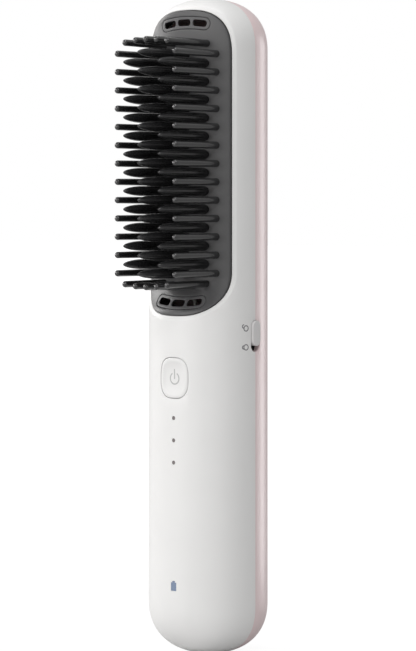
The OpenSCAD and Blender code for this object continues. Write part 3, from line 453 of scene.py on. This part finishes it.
def finish_piece(made, finish, body, stands_for=(), degrees=32):
    """Turns a millimetre object into a finished piece in metres, and gives it its finish, slot and body."""
    bm = bmesh.new()
    bm.from_mesh(made.data)
    if bm.calc_volume(signed=True) < 0:
        bmesh.ops.reverse_faces(bm, faces=bm.faces)
    bmesh.ops.scale(bm, vec=(MM, MM, MM), verts=bm.verts)
    smooth_by_angle(bm, degrees)
    bm.to_mesh(made.data)
    bm.free()
    dress(made.data, finish)
    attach(made, body)
    if stands_for:
        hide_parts(*stands_for)
    print(made.name, "faces", len(made.data.polygons))
    return made


def cut(made, cutters):
    """Takes cutters out of a piece, one after the other, and deletes them."""
    for cutter in cutters:
        tool = made.modifiers.new("cut", "BOOLEAN")
        tool.operation = "DIFFERENCE"
        tool.solver = "EXACT"
        tool.object = cutter
        whole = bpy.context.evaluated_depsgraph_get()
        whole.update()
        data = bpy.data.meshes.new_from_object(made.evaluated_get(whole))
        made.modifiers.clear()
        made.data = data
        bpy.data.objects.remove(cutter)
    return made


def loft(bm, rings, closed=True):
    """Joins rings with the same count of points, by extruding the edges of each ring into the next."""
    line = [bm.verts.new(point) for point in rings[0]]
    pairs = list(zip(line, line[1:]))
    if closed:
        pairs.append((line[-1], line[0]))
    edges = [bm.edges.new(pair) for pair in pairs]
    for ring in rings[1:]:
        grown = bmesh.ops.extrude_edge_only(bm, edges=edges)["geom"]
        edges = [g for g in grown if isinstance(g, bmesh.types.BMEdge)]
        corners = {v for e in edges for v in e.verts}
        line = [next(w for e in v.link_edges for w in e.verts if w in corners) for v in line]
        for v, point in zip(line, ring):
            v.co = point


def lofted(name, rings):
    """A closed piece from rings that start and end on a line or at a cap."""
    bm = bmesh.new()
    loft(bm, rings)
    bmesh.ops.remove_doubles(bm, verts=bm.verts, dist=MERGE)
    bmesh.ops.holes_fill(bm, edges=[e for e in bm.edges if e.is_boundary], sides=0)
    return as_object(bm, name)


# %% [markdown]
# ## The shells
#
# Each shell is half of the body. Its ends are domes, so it is spun: a line from the middle of the base to the
# top is turned through half a circle. The round result is then pressed into the squared oval. An inner skin
# is made in the same way and joined to the outer one along the parting line, which gives the shell its wall.

# %% Spin and press a half skin
PARTING_SOFT, ON_PLANE = 0.16, 1e-5


def bent(angle):
    """The sine and cosine of an angle, bent to the power of the body's ends."""
    return sin(angle) ** (2 / END_POWER), abs(cos(angle)) ** (2 / END_POWER)


def profile(inset):
    """Points of the skin from the base's middle to the top: share of the full section, and height."""
    turns, steps, tall = 26, 34, END_HEIGHT - inset
    points = [(0, LOW - tall * bent(base_angle)[1])]
    for i in range(turns + 1):
        share, rise = bent(base_angle + (pi / 2 - base_angle) * i / turns)
        points.append((share, LOW - tall * rise))
    points += [(1, LOW + (HIGH - LOW) * i / steps) for i in range(1, steps)]
    top = HIGH + tall * bent(TOP_ANGLE)[1]
    for i in range(turns, -1, -1):
        share, rise = bent(pi / 2 * i / turns)
        points.append((share, min(HIGH + tall * rise, top)))
    return points


def half_skin(bm, inset, turn):
    """Adds the front (turn -1) or rear (turn 1) half of the skin. Returns its edges on the parting plane."""
    line = [bm.verts.new((share, 0, z)) for share, z in profile(inset)]
    edges = [bm.edges.new(pair) for pair in zip(line, line[1:])]
    old = set(bm.verts) - set(line)
    bmesh.ops.spin(
        bm, geom=line + edges, cent=(0, 0, 0), axis=(0, 0, 1), angle=turn * pi, steps=72, use_merge=False
    )
    verts = [v for v in bm.verts if v not in old]
    wide, deep = HALF_W - inset, HALF_D - inset
    for v in verts:
        if abs(v.co.y) < ON_PLANE:
            v.co.y = 0
        radius = hypot(v.co.x, v.co.y)
        if radius > 1e-7:
            v.co.x, v.co.y = (
                wide * radius * signed_power(v.co.x / radius, SECTION_POWER),
                deep * radius * signed_power(v.co.y / radius, SECTION_POWER),
            )
    bmesh.ops.remove_doubles(bm, verts=verts, dist=MERGE)
    rim = {e for v in verts if v.is_valid for e in v.link_edges if e.is_boundary}
    return [e for e in rim if lies_on_plane(e)]


def lies_on_plane(edge):
    return all(abs(v.co.y) < ON_PLANE for v in edge.verts)


def in_order(edges):
    """The corners of a closed chain of edges, from the middle of the base on towards +X."""
    beside = {}
    for edge in edges:
        for v in edge.verts:
            beside.setdefault(v, []).append(edge.other_vert(v))
    chain = [min((v for v in beside if v.co.z < LOW), key=lambda v: abs(v.co.x))]
    chain.append(max(beside[chain[0]], key=lambda v: v.co.x))
    while len(chain) < len(beside):
        chain.append(next(v for v in beside[chain[-1]] if v != chain[-2]))
    return chain


def half_shell(name, turn):
    """One half of the body as a hollow wall with a softened outer edge on the parting plane."""
    bm = bmesh.new()
    outer = in_order(half_skin(bm, 0, turn))
    inner = in_order(half_skin(bm, WALL, turn))
    outer_verts = set(outer)
    for i in range(len(outer)):
        bm.faces.new((outer[i - 1], outer[i], inner[i], inner[i - 1]))
    bmesh.ops.recalc_face_normals(bm, faces=bm.faces)
    edge = [e for e in bm.edges
            if outer_verts.issuperset(e.verts) and len(e.link_faces) == 2 and lies_on_plane(e)]
    bmesh.ops.bevel(
        bm, geom=edge, offset=PARTING_SOFT, offset_type="OFFSET", affect="EDGES", segments=3, profile=0.5,
        material=-1, clamp_overlap=True
    )
    return as_object(bm, name)


front = half_shell("white_front", -1)
rear = half_shell("pink_rear", 1)
print("front", len(front.data.polygons), "rear", len(rear.data.polygons))

# %% [markdown]
# ### Outlines
#
# Openings and sunk pieces are drawn as closed outlines in x and z. Each point also gets the direction that
# leads out of the outline, so that rounded edges can be built in upright slices across it.

# %% Outlines


def directed(points):
    """Adds to each point of a closed outline, run round to the left, the direction that leads out of it."""
    out = []
    for i, (x, z) in enumerate(points):
        (ax, az), (bx, bz) = points[i - 1], points[(i + 1) % len(points)]
        dx, dz = bx - ax, bz - az
        long = hypot(dx, dz)
        out.append((x, z, dz / long, -dx / long))
    return out


def opening_points():
    """The plate's opening: straight sides, and two ends that are squared half circles."""
    points = []
    low, high = PLATE_LOW + PLATE_END, PLATE_HIGH - PLATE_END
    turns, steps = 60, 30
    for start, end, far, side in ((0, high, low, -1), (pi, low, high, 1)):
        for i in range(turns + 1):
            t = start + pi * i / turns
            points.append((OPENING_HALF * signed_power(cos(t), PLATE_POWER),
                           end + PLATE_END * signed_power(sin(t), PLATE_POWER)))
        points += [(side * OPENING_HALF, end + (far - end) * i / steps) for i in range(1, steps)]
    return points


def rounded_points(width, height, corner):
    """A rectangle round the origin, with round corners."""
    points, steps = [], 8
    for k, (sx, sz) in enumerate(((1, -1), (1, 1), (-1, 1), (-1, -1))):
        for i in range(steps + 1):
            t = radians(-90 + 90 * k + 90 * i / steps)
            points.append((sx * (width / 2 - corner) + corner * cos(t),
                           sz * (height / 2 - corner) + corner * sin(t)))
    return points


def oval_points(middle, wide, high, count=32, power=2):
    """An oval. A power above 2 gives it fuller corners."""
    turns = [2 * pi * i / count for i in range(count)]
    return [(middle[0] + wide * signed_power(cos(t), power),
             middle[1] + high * signed_power(sin(t), power)) for t in turns]


def pill_points(middle, half_length, radius, along="z"):
    """A slot with round ends, its length along z or, for along 'x', across."""
    points, steps = [], 16
    for start, end in ((0, 1), (pi, -1)):
        for i in range(steps + 1):
            t = start + pi * i / steps
            points.append((radius * cos(t), end * (half_length - radius) + radius * sin(t)))
    if along == "x":
        points = [(b, -a) for a, b in points]
    return [(a + middle[0], b + middle[1]) for a, b in points]


opening = directed(opening_points())
print("opening points", len(opening))

# %% [markdown]
# ### Edges in slices
#
# Every moulded edge is rounded, and the light catches it as a thin bright line. A cut leaves faces of every
# size, on which a bevel breaks up, so the rounding is built into the cutter: in each slice, a small circle
# touches both the wall of the hole and the surface. The tilt of a surface is the angle by which it falls in
# the outward direction, so a wall that faces into the hole has a tilt of -90 degrees.

# %% Slices
HOLE_EDGE, HOLE_LEAVE, HOLE_RUN = 0.15, radians(14), 1.6
RIM_BAND, RIM_DROP, RIM_BELOW_SKIN = 1.4, 0.45, 0.3
RIM_EDGE, RIM_SOFT, RIM_LEAVE, RIM_RUN = 0.3, 0.6, radians(12), 2.2


def tilt_at(surface, x, z, nx, nz):
    """The angle by which a surface falls in a direction."""
    step = 0.05
    fall = surface(x - step * nx, z - step * nz) - surface(x + step * nx, z + step * nz)
    return atan2(fall, 2 * step)


def arc(u, out, radius, first, last, steps):
    """Points on a circle from one tilt to another, as distance outward and distance out."""
    tilts = [first + (last - first) * i / steps for i in range(steps + 1)]
    return [(u + radius * sin(t), out + radius * cos(t)) for t in tilts]


def lip(corner, tilt, radius, leave=0.0):
    """The rounded edge between the wall of a hole and a surface that meets it at a height."""
    middle = corner - radius * (1 + sin(tilt)) / cos(tilt)
    return arc(radius, middle, radius, -pi / 2, tilt - leave, 8)


def run_on(points, tilt, length):
    """Adds a straight stretch, so that a cutter leaves the surface at a small angle."""
    u, out = points[-1]
    return points + [(u + length * cos(tilt), out - length * sin(tilt))]


def fillet_slice(surface, radius=HOLE_EDGE):
    """A slice for a plain hole with a rounded edge. A few rounds settle where its circle touches."""

    def slice_at(x, z, nx, nz):
        reach, rounds = radius, 6
        for _ in range(rounds):
            here = surface(x + reach * nx, z + reach * nz)
            tilt = tilt_at(surface, x + reach * nx, z + reach * nz, nx, nz)
            reach = radius * (1 + sin(tilt))
        corner = here + reach * tan(tilt)
        return run_on(lip(corner, tilt, radius, HOLE_LEAVE), tilt - HOLE_LEAVE, HOLE_RUN)

    return slice_at


def band_slice(x, z, nx, nz):
    """A slice of the plate's opening: a lip just below the plate, a flat band and a soft corner."""
    inner = soft_min(crown_out(x, z) - RIM_DROP, skin_out(x, z) - RIM_BELOW_SKIN)
    bx, bz = x + RIM_BAND * nx, z + RIM_BAND * nz
    outer = skin_out(bx, bz)
    band, skin = atan2(inner - outer, RIM_BAND), tilt_at(skin_out, bx, bz, nx, nz)
    back = RIM_SOFT * tan((skin - band) / 2)
    leave = min(RIM_LEAVE, (skin - band) / 2)
    u = RIM_BAND - back * cos(band) - RIM_SOFT * sin(band)
    out = outer + back * sin(band) - RIM_SOFT * cos(band)
    points = lip(inner, band, RIM_EDGE) + arc(u, out, RIM_SOFT, band, skin - leave, 6)
    return run_on(points, skin - leave, RIM_RUN)


def ring_at(outline, level):
    """A ring of places: each point of an outline moved outward and out by its own two distances."""
    return [(x + u * nx, -out, z + u * nz) for (x, z, nx, nz), (u, out) in zip(outline, level)]


def rim_cutter(name, outline, floor, slice_at, top=HALF_D + 3):
    """A cutter from a floor up through a surface, with a rounded edge."""
    slices = [slice_at(*point) for point in outline]
    levels = [[(0, floor)] * len(outline)]
    levels += [[s[k] for s in slices] for k in range(len(slices[0]))]
    levels.append([(s[-1][0], top) for s in slices])
    return lofted(name, [ring_at(outline, level) for level in levels])


# %% [markdown]
# The smaller holes are cut straight: three round ones for the status lamps, one in the shape of a battery and
# the charging port's mouth. The slider's slot runs through both shells at the side, with a rounded edge.

# %% Straight cutters
BUTTON_X, BUTTON_Z = -0.1, 86.7
BUTTON_HALF_X, BUTTON_HALF_Z, BUTTON_POWER, BUTTON_GAP = 5.65, 6.4, 2.9, 0.12
LAMP_Z = (74.3, 67.4, 60.5)
LAMP_HOLE = 0.65
BATTERY_LAMP_Z, BATTERY_LAMP_WIDTH, BATTERY_LAMP_HEIGHT, BATTERY_LAMP_GAP = 22.3, 2.05, 3.0, 0.06
SLIDER_Z, KNOB_LENGTH, KNOB_WIDTH, KNOB_RISE = 100.6, 7.9, 3.7, 0.7
SLIDER_TRAVEL, SLIDER_GAP, SLOT_SPARE = 1.8, 0.15, 0.1
SOCKET_WIDTH, SOCKET_HEIGHT, SOCKET_GAP = 8.94, 3.26, 0.15
TO_FRONT = Matrix.Rotation(radians(90), 4, "X")
TO_SIDE = Matrix.Rotation(radians(90), 4, "Z")
UPRIGHT = Matrix.Identity(4)
OUTSIDE, INSIDE, BELOW_BUTTON = HALF_D + 1, HALF_D - 3, HALF_D - 6
SLOT_FLOOR, SLOT_TOP = HALF_W - 3.5, HALF_W + 2
BATTERY_SHOULDER = 0.84


def thicken(bm, faces):
    """Extrudes flat faces in place, and returns the corners of the upper side."""
    grown = bmesh.ops.extrude_face_region(bm, geom=faces)["geom"]
    return {g for g in grown if isinstance(g, bmesh.types.BMVert)}


def prisms(name, outlines, turn, low, high):
    """Outlines drawn flat, extruded from low to high along Z, then turned into place."""
    bm = bmesh.new()
    faces = [bm.faces.new([bm.verts.new((a, b, low)) for a, b in points]) for points in outlines]
    for v in thicken(bm, faces):
        v.co.z = high
    bmesh.ops.transform(bm, matrix=turn, verts=bm.verts)
    return as_object(bm, name)


def battery_points():
    """The hole for the battery lamp: a battery cell with its cap."""
    w, h, z, gap = BATTERY_LAMP_WIDTH / 2, BATTERY_LAMP_HEIGHT, BATTERY_LAMP_Z, BATTERY_LAMP_GAP
    w, foot, shoulder, cap = w + gap, z - h / 2 - gap, z - h / 2 + h * BATTERY_SHOULDER + gap, z + h / 2 + gap
    return [(-w, foot), (w, foot), (w, shoulder), (w / 2, shoulder), (w / 2, cap),
            (-w / 2, cap), (-w / 2, shoulder), (-w, shoulder)]


def slot_cutter():
    """The slider's slot, made as if at the front and then turned to the side."""
    low = SLIDER_Z - KNOB_LENGTH / 2 - SLIDER_TRAVEL - SLOT_SPARE
    high = SLIDER_Z + KNOB_LENGTH / 2 + SLOT_SPARE
    points = pill_points((0, (low + high) / 2), (high - low) / 2, KNOB_WIDTH / 2 + SLIDER_GAP)
    made = rim_cutter("slot_cutter", directed(points), SLOT_FLOOR, fillet_slice(skin_side), SLOT_TOP)
    made.data.transform(TO_SIDE)
    return made


def port_cutter():
    points = pill_points((0, 0), SOCKET_WIDTH / 2 + SOCKET_GAP, SOCKET_HEIGHT / 2 + SOCKET_GAP, along="x")
    return prisms("port_cutter", [points], UPRIGHT, -1, WALL + 2)


# %% Cut and finish the front shell
def button_outline(inset):
    """The button's outline, moved in by a distance at its sides and ends."""
    half_x, half_z = BUTTON_HALF_X - inset, BUTTON_HALF_Z - inset
    return directed(oval_points((BUTTON_X, BUTTON_Z), half_x, half_z, 96, BUTTON_POWER))


through = [oval_points((0, z), LAMP_HOLE, LAMP_HOLE) for z in LAMP_Z] + [battery_points()]
cut(front, [
    rim_cutter("opening_cutter", opening, PLATE_SEAT - SEAT_GAP, band_slice),
    rim_cutter("button_cutter", button_outline(0), BELOW_BUTTON, fillet_slice(skin_out)),
    prisms("lamp_cutter", through, TO_FRONT, INSIDE, OUTSIDE),
    slot_cutter(),
    port_cutter(),
])
finish_piece(front, shell_white, "body", ["front_shell"])

# %% Cut and finish the rear shell
cut(rear, [slot_cutter(), port_cutter()])
finish_piece(rear, shell_pink, "body", ["rear_shell"])

# %% [markdown]
# The lamp close behind the comb is there for the pink shell's gloss, so it lights nothing else.

# %% One lamp for one piece
lit_by_streak = bpy.data.collections.new("lit_by_streak")
lit_by_streak.objects.link(rear)
streak.light_linking.receiver_collection = lit_by_streak

# %% [markdown]
# ## The comb plate
#
# The plate is a thin dark moulding with a skirt that reaches down to its seat in the shell. It is lofted:
# rings that shrink towards the plate's middle line cover the top, the outermost ones turn over the edge, and
# further rings run down the skirt and back under the top. Its holes for the teeth and the vents are then cut
# through.

# %% Rings of a lofted piece
PLATE_GAP, PLATE_EDGE, PLATE_THICK, SKIRT_WALL = 0.18, 0.22, 1.6, 1.15
EDGE_STEPS = 6


def spread(outline, grow, middle_of, surface, shares):
    """Rings on a surface, between a middle line (share 0) and an outline (share 1) moved outward."""
    rings = []
    for share in shares:
        ring = []
        for (x, z, nx, nz), u in zip(outline, grow):
            x, z = x + u * nx, z + u * nz
            mx, mz = middle_of(x, z)
            x, z = mx + share * (x - mx), mz + share * (z - mz)
            ring.append((x, -surface(x, z), z))
        rings.append(ring)
    return rings


def top_rings(outline, middle_of, surface, inset, radius, steps):
    """Rings that cover a top from its middle line outward and turn over its rounded edge."""
    touches, edges = [], []
    for x, z, nx, nz in outline:
        u = -inset - radius
        tilt = tilt_at(surface, x + u * nx, z + u * nz, nx, nz)
        touch = u + radius * sin(tilt)
        middle = surface(x + touch * nx, z + touch * nz) - radius * cos(tilt)
        touches.append(touch)
        edges.append(arc(u, middle, radius, tilt, pi / 2, EDGE_STEPS))
    rings = spread(outline, touches, middle_of, surface, [i / steps for i in range(steps + 1)])
    return rings + [ring_at(outline, level) for level in list(zip(*edges))[1:]]


def level_ring(outline, grow, level):
    return ring_at(outline, [(grow, level)] * len(outline))


def under_rings(outline, grow, middle_of, surface, steps):
    """Rings that close a piece from below, from its outline in to its middle line."""
    shares = [1 - i / steps for i in range(steps + 1)]
    return spread(outline, [grow] * len(outline), middle_of, surface, shares)


def upright_middle(x, low, high):
    """An upright middle line, as a function that gives its nearest point."""
    return lambda _, z: (x, min(max(z, low), high))


plate_middle = upright_middle(0, PLATE_LOW + PLATE_END, PLATE_HIGH - PLATE_END)
rings = top_rings(opening, plate_middle, plate_out, PLATE_GAP, PLATE_EDGE, 16)
skirt = -PLATE_GAP - SKIRT_WALL
rings += [level_ring(opening, grow, PLATE_SEAT) for grow in (-PLATE_GAP, skirt)]
rings += under_rings(opening, skirt, plate_middle, lambda x, z: plate_out(x, z) - PLATE_THICK, 8)
plate = lofted("comb_plate_skin", rings)
print("plate faces", len(plate.data.polygons))

# %% [markdown]
# Each tooth stands in its own hole. Thirteen rows of guard teeth run down both sides, an arc of five closes
# the field at each end, and three columns of blades stand between them, the outer two half a row off.

# %% Tooth places and vents
ROWS, ROW_PITCH, COMB_MID = 13, 5.65, 153.1
GUARD_X, BLADE_X = 11.76, 7.03
GUARD_HOLE, BLADE_HOLE, BLADE_HOLE_SHARE = 1.16, 2.4, 0.66
ARC_TEETH, ARC_PITCH, ARC_GAP, ARC_SAG = 5, 4.3, 4.0, 0.7
VENT_ARC, VENT_HALF_LENGTH, VENT_HALF_HEIGHT = 50.0, 9.85, 2.0
VENT_TURN = (VENT_HALF_LENGTH - VENT_HALF_HEIGHT) / VENT_ARC
SLOT_LENGTH, SLOT_HEIGHT, SLOT_PITCH, SLOT_CORNER = 5.1, 2.0, 6.0, 0.85
VENTS = {"upper_vent": (197.0, 1, "upper_vent_grille"), "lower_vent": (109.8, -1, "lower_vent_grille")}

half_field = ROW_PITCH * (ROWS - 1) / 2
rows = [COMB_MID - half_field + ROW_PITCH * i for i in range(ROWS)]
guards = [(side * GUARD_X, z) for side in (-1, 1) for z in rows]
for end in (-1, 1):
    for k in range(-(ARC_TEETH // 2), ARC_TEETH // 2 + 1):
        sag = ARC_SAG * (2 * k / (ARC_TEETH - 1)) ** 2
        guards.append((k * ARC_PITCH, COMB_MID + end * (half_field + ARC_GAP - sag)))
middle_blades = [(0, z) for z in rows]
outer_blades = [(side * BLADE_X, z + ROW_PITCH / 2) for side in (-1, 1) for z in rows[:-1]]
blades = middle_blades + outer_blades
print("teeth:", len(guards), "guards and", len(blades), "blades")


def from_up(distance, angle):
    """A point at an angle from straight up towards +X."""
    return Vector((distance * sin(angle), distance * cos(angle)))


def bent_round(point, z, bend):
    """A point given from the distant centre of a vent's curve. Bend 1 bulges up and -1 bulges down."""
    return bend * point.x, z + bend * (point.y - VENT_ARC)


def vent_points(z, bend, grow=0.0):
    """A band bent round a distant point, with round ends."""
    turn, half, n = VENT_TURN, VENT_HALF_HEIGHT + grow, 12
    ring = [from_up(VENT_ARC + half, turn * i / n) for i in range(n, -n - 1, -1)]
    ring += [from_up(VENT_ARC, -turn) + from_up(half, -turn - pi * i / n) for i in range(1, n)]
    ring += [from_up(VENT_ARC - half, turn * i / n) for i in range(-n, n + 1)]
    ring += [from_up(VENT_ARC, turn) + from_up(half, turn + pi * (n - i) / n) for i in range(1, n)]
    return [bent_round(p, z, bend) for p in ring]


def vent_middle(z, bend):
    """The middle line of a vent, as a function that gives its nearest point."""

    def nearest(x, height):
        angle = atan2(bend * x, VENT_ARC + bend * (height - z))
        return bent_round(from_up(VENT_ARC, min(max(angle, -VENT_TURN), VENT_TURN)), z, bend)

    return nearest


def slot_points(z, bend, i):
    """One slot of a vent, turned with the vent's curve."""
    angle = i * SLOT_PITCH / VENT_ARC
    points = []
    for a, b in rounded_points(SLOT_LENGTH, SLOT_HEIGHT, SLOT_CORNER):
        p = from_up(VENT_ARC + b, angle) + Vector((a * cos(angle), -a * sin(angle)))
        points.append(bent_round(p, z, bend))
    return points


# %% Cut and finish the plate
UNDER_PLATE = PLATE_SEAT - 2

holes = [oval_points(p, GUARD_HOLE, GUARD_HOLE) for p in guards]
holes += [oval_points(p, BLADE_HOLE, BLADE_HOLE * BLADE_HOLE_SHARE, 40) for p in blades]
cutters = [prisms("tooth_holes", holes, TO_FRONT, UNDER_PLATE, OUTSIDE)]
for z, bend, _ in VENTS.values():
    outline = directed(vent_points(z, bend))
    cutters.append(rim_cutter("vent_hole", outline, UNDER_PLATE, fillet_slice(plate_out)))
cut(plate, cutters)
finish_piece(plate, plate_grey, "body", ["comb_plate"])

# %% [markdown]
# A vent grille is a curved strip with three slots. Its edge and the edge of its hole are both rounded, so a
# fine groove runs round it.

# %% The vent grilles
GRILLE_THICK, GRILLE_GAP, GRILLE_EDGE, SLOT_EDGE = 0.45, 0.08, 0.2, 0.12

for name, (z, bend, stands_for) in VENTS.items():
    outline = directed(vent_points(z, bend, -GRILLE_GAP))
    middle = vent_middle(z, bend)
    rings = top_rings(outline, middle, plate_out, 0, GRILLE_EDGE, 6)
    rings += under_rings(outline, 0, middle, lambda x, height: plate_out(x, height) - GRILLE_THICK, 3)
    grille = lofted(name, rings)
    slots = []
    for i in (-1, 0, 1):
        slot = directed(slot_points(z, bend, i))
        slots.append(rim_cutter("vent_slot", slot, UNDER_PLATE, fillet_slice(plate_out, SLOT_EDGE)))
    finish_piece(cut(grille, slots), vent_grey, "body", [stands_for])

# %% [markdown]
# ## The teeth
#
# The two tooth pieces come from the CAD program as loose triangles, which shade as flat facets, so a merged
# and smooth copy stands in for each. Its teeth are also made a little fuller where they stand free, by moving
# their points away from each tooth's own axis.

# %% Smooth copies of the tooth pieces
SHAFT_START = 9.0
TOOTH_MERGE, TOOTH_DEGREES = 0.001, 40


def fuller_copy(name, source, centres, wide, high, finish):
    """A smooth copy of a tooth piece, with its shafts stretched by factors in x (wide) and z (high)."""
    bm = bmesh.new()
    bm.from_mesh(nodes[source].data)
    bmesh.ops.remove_doubles(bm, verts=bm.verts, dist=TOOTH_MERGE * MM)
    bmesh.ops.transform(bm, matrix=Matrix.Scale(1 / MM, 4) @ nodes[source].matrix_world, verts=bm.verts)
    for v in bm.verts:
        if -v.co.y > SHAFT_START:
            x, z = min(centres, key=lambda p: (p[0] - v.co.x) ** 2 + (p[1] - v.co.z) ** 2)
            v.co.x = x + wide * (v.co.x - x)
            v.co.z = z + high * (v.co.z - z)
    return finish_piece(as_object(bm, name), finish, "body", [source], TOOTH_DEGREES)


fuller_copy("guard_comb", "guard_teeth", guards, 1.09, 1.09, guard_black)
fuller_copy("blade_comb", "heated_comb", blades, 1.0, 1.13, comb_black)

# %% [markdown]
# ## The power button
#
# The cap continues the body's curve at its edge and has a finger dish in the middle. It is lofted like the
# plate. A flange below the skin keeps it from falling out, and the cap can move in by half a millimetre.

# %% The button's cap
DISH_DEPTH, DISH_LAND, DISH_SLOPE = 0.6, 0.95, 3.0
CAP_HALF_X, CAP_HALF_Z, CAP_EDGE = BUTTON_HALF_X - BUTTON_GAP, BUTTON_HALF_Z - BUTTON_GAP, 0.42
FLANGE, FLANGE_FRONT, FLANGE_BACK = 1.15, 13.70, 12.90


def button_out(x, z):
    """The cap's surface: the body's skin, less a bowl that starts a little inside the cap's edge."""
    wide, high = abs(x - BUTTON_X) / CAP_HALF_X, abs(z - BUTTON_Z) / CAP_HALF_Z
    share = (wide ** BUTTON_POWER + high ** BUTTON_POWER) ** (1 / BUTTON_POWER)
    part = min(max(((1 - share) * CAP_HALF_X - DISH_LAND) / DISH_SLOPE, 0), 1)
    return skin_out(x, z) - DISH_DEPTH * (1 - (1 - part) ** 2)


reach = CAP_HALF_Z - CAP_HALF_X
button_middle = upright_middle(BUTTON_X, BUTTON_Z - reach, BUTTON_Z + reach)
cap = button_outline(BUTTON_GAP)
rings = top_rings(cap, button_middle, button_out, 0, CAP_EDGE, 24)
for grow, level in ((0, FLANGE_FRONT), (FLANGE, FLANGE_FRONT), (FLANGE, FLANGE_BACK)):
    rings.append(level_ring(cap, grow, level))
rings += under_rings(cap, FLANGE, button_middle, lambda x, z: FLANGE_BACK, 1)[1:]
finish_piece(lofted("button_cap", rings), button_white, "power_button", ["power_button"])

# %% [markdown]
# ## The lock slider
#
# The knob that shows is a pill with rounded edges. Behind the shells it carries a plate that slides along
# them and two fingers that hold the switch's lever.

# %% The slider's knob
CARRIER_X, CARRIER_THICK, CARRIER_HALF_Y, CARRIER_HALF_Z = 16.94, 1.0, 3.2, 7.05
FORK_X, FORK_HALF_Y, FORK_Z, FORK_HALF_Z = (12.14, 16.04), 1, 1.35, 0.6
KNOB_TOP, KNOB_EDGE, KNOB_CROWN, KNOB_SUNK = HALF_W + KNOB_RISE, 0.22, 0.03, 0.1


def knob_out(x, z):
    """The knob's top, crowned a little across."""
    return KNOB_TOP - KNOB_CROWN * x * x


def add_block(bm, x, y, z):
    """A box between limits, for parts behind the shell."""
    size = Matrix.Diagonal((x[1] - x[0], y[1] - y[0], z[1] - z[0], 1))
    place = Matrix.Translation(((x[0] + x[1]) / 2, (y[0] + y[1]) / 2, (z[0] + z[1]) / 2))
    bmesh.ops.create_cube(bm, size=1, matrix=place @ size)


outline = directed(pill_points((0, SLIDER_Z), KNOB_LENGTH / 2, KNOB_WIDTH / 2))
reach = (KNOB_LENGTH - KNOB_WIDTH) / 2
knob_middle = upright_middle(0, SLIDER_Z - reach, SLIDER_Z + reach)
bm = bmesh.new()
rings = top_rings(outline, knob_middle, knob_out, 0, KNOB_EDGE, 6)
rings += under_rings(outline, 0, knob_middle, lambda x, z: CARRIER_X - KNOB_SUNK, 1)
loft(bm, rings)
bmesh.ops.remove_doubles(bm, verts=bm.verts, dist=MERGE)
bmesh.ops.transform(bm, matrix=TO_SIDE, verts=bm.verts)
add_block(bm, (CARRIER_X - CARRIER_THICK, CARRIER_X), (-CARRIER_HALF_Y, CARRIER_HALF_Y),
          (SLIDER_Z - CARRIER_HALF_Z, SLIDER_Z + CARRIER_HALF_Z))
for side in (-1, 1):
    middle = SLIDER_Z + side * FORK_Z
    add_block(bm, FORK_X, (-FORK_HALF_Y, FORK_HALF_Y), (middle - FORK_HALF_Z, middle + FORK_HALF_Z))
finish_piece(as_object(bm, "slider_knob"), slider_pale_and_painted_shade, "lock_slider", ["lock_slider"])

# %% [markdown]
# ## Printed signs
#
# The power sign on the button and the two padlocks beside the slider are thin lines of paint. Each line is
# made flat, by extruding a short edge along a path, then thickened and laid on the surface.

# %% Strokes
LINE_SUNK, LINE_PROUD = 0.03, 0.012
END_TURNS = [radians(12 + 26 * k) for k in range(4)]


def stroke(path, width, closed=False):
    """Pairs of points beside a path. An open line ends in half circles, a closed one in its own start."""
    half, count = width / 2, len(path)
    path = [Vector(p) for p in path]
    pairs = []

    def add_pair(at, along, spread):
        across = Vector((-along.y, along.x)) * spread
        pairs.append([(*(at + across), 0), (*(at - across), 0)])

    def direction(i):
        before, after = (i - 1) % count, (i + 1) % count
        if not closed:
            before, after = max(i - 1, 0), min(i + 1, count - 1)
        return (path[after] - path[before]).normalized()

    if not closed:
        for t in END_TURNS:
            add_pair(path[0] - direction(0) * half * cos(t), direction(0), half * sin(t))
    for i in range(count):
        add_pair(path[i], direction(i), half)
    if closed:
        add_pair(path[0], direction(0), half)
        return pairs
    last = direction(count - 1)
    for t in reversed(END_TURNS):
        add_pair(path[-1] + last * half * cos(t), last, half * sin(t))
    return pairs


def sign(name, strokes, place, finish, body):
    """Strokes laid on a surface. Place turns a flat point and a height above the surface into a place."""
    bm = bmesh.new()
    for pairs in strokes:
        loft(bm, pairs, closed=False)
    bmesh.ops.remove_doubles(bm, verts=bm.verts, dist=MERGE)
    lifted = thicken(bm, list(bm.faces))
    for v in bm.verts:
        v.co = place(v.co.x, v.co.y, LINE_PROUD if v in lifted else -LINE_SUNK)
    return finish_piece(as_object(bm, name), finish, body)


def round_path(middle, radius, first, last, count):
    """Points on a circle, from one angle to another in degrees, counted from straight up towards +X."""
    turns = [radians(first + (last - first) * i / count) for i in range(count + 1)]
    return [(middle[0] + radius * sin(t), middle[1] + radius * cos(t)) for t in turns]


# %% The three signs
def on_button(x, z, height):
    return x, -button_out(x, z) - height, z


def on_side(forward, z, height):
    return skin_side(forward, z) + height, -forward, z


POWER_RING, POWER_BAR, POWER_LINE, POWER_DROP = 1.75, 2.75, 0.42, 0.15

power_z = BUTTON_Z - POWER_DROP
power_lines = [
    stroke(round_path((BUTTON_X, power_z), POWER_RING, 35, 325, 36), POWER_LINE),
    stroke([(BUTTON_X, power_z + POWER_BAR * i / 6) for i in range(7)], POWER_LINE),
]
sign("power_sign", power_lines, on_button, sign_pale, "power_button")


def padlock(z, swing):
    """A padlock that lies on its side, with its shackle towards the front, swung up by a distance."""
    forward, size, line = 4.1, 0.83, 0.32
    bow, leg, reach = 0.5, 0.72, 0.86
    body = stroke(round_path((forward, z), size, 0, 345, 23), line, closed=True)
    shackle = [(forward + leg, z + swing - bow)]
    shackle += round_path((forward + reach, z + swing), bow, 180, 0, 12)
    return [body, stroke(shackle, line)]


for name, z, swing in (("open_padlock", 102.2, 0.62), ("closed_padlock", 96.35, 0.0)):
    sign(name, padlock(z, swing), on_side, sign_grey, "body")
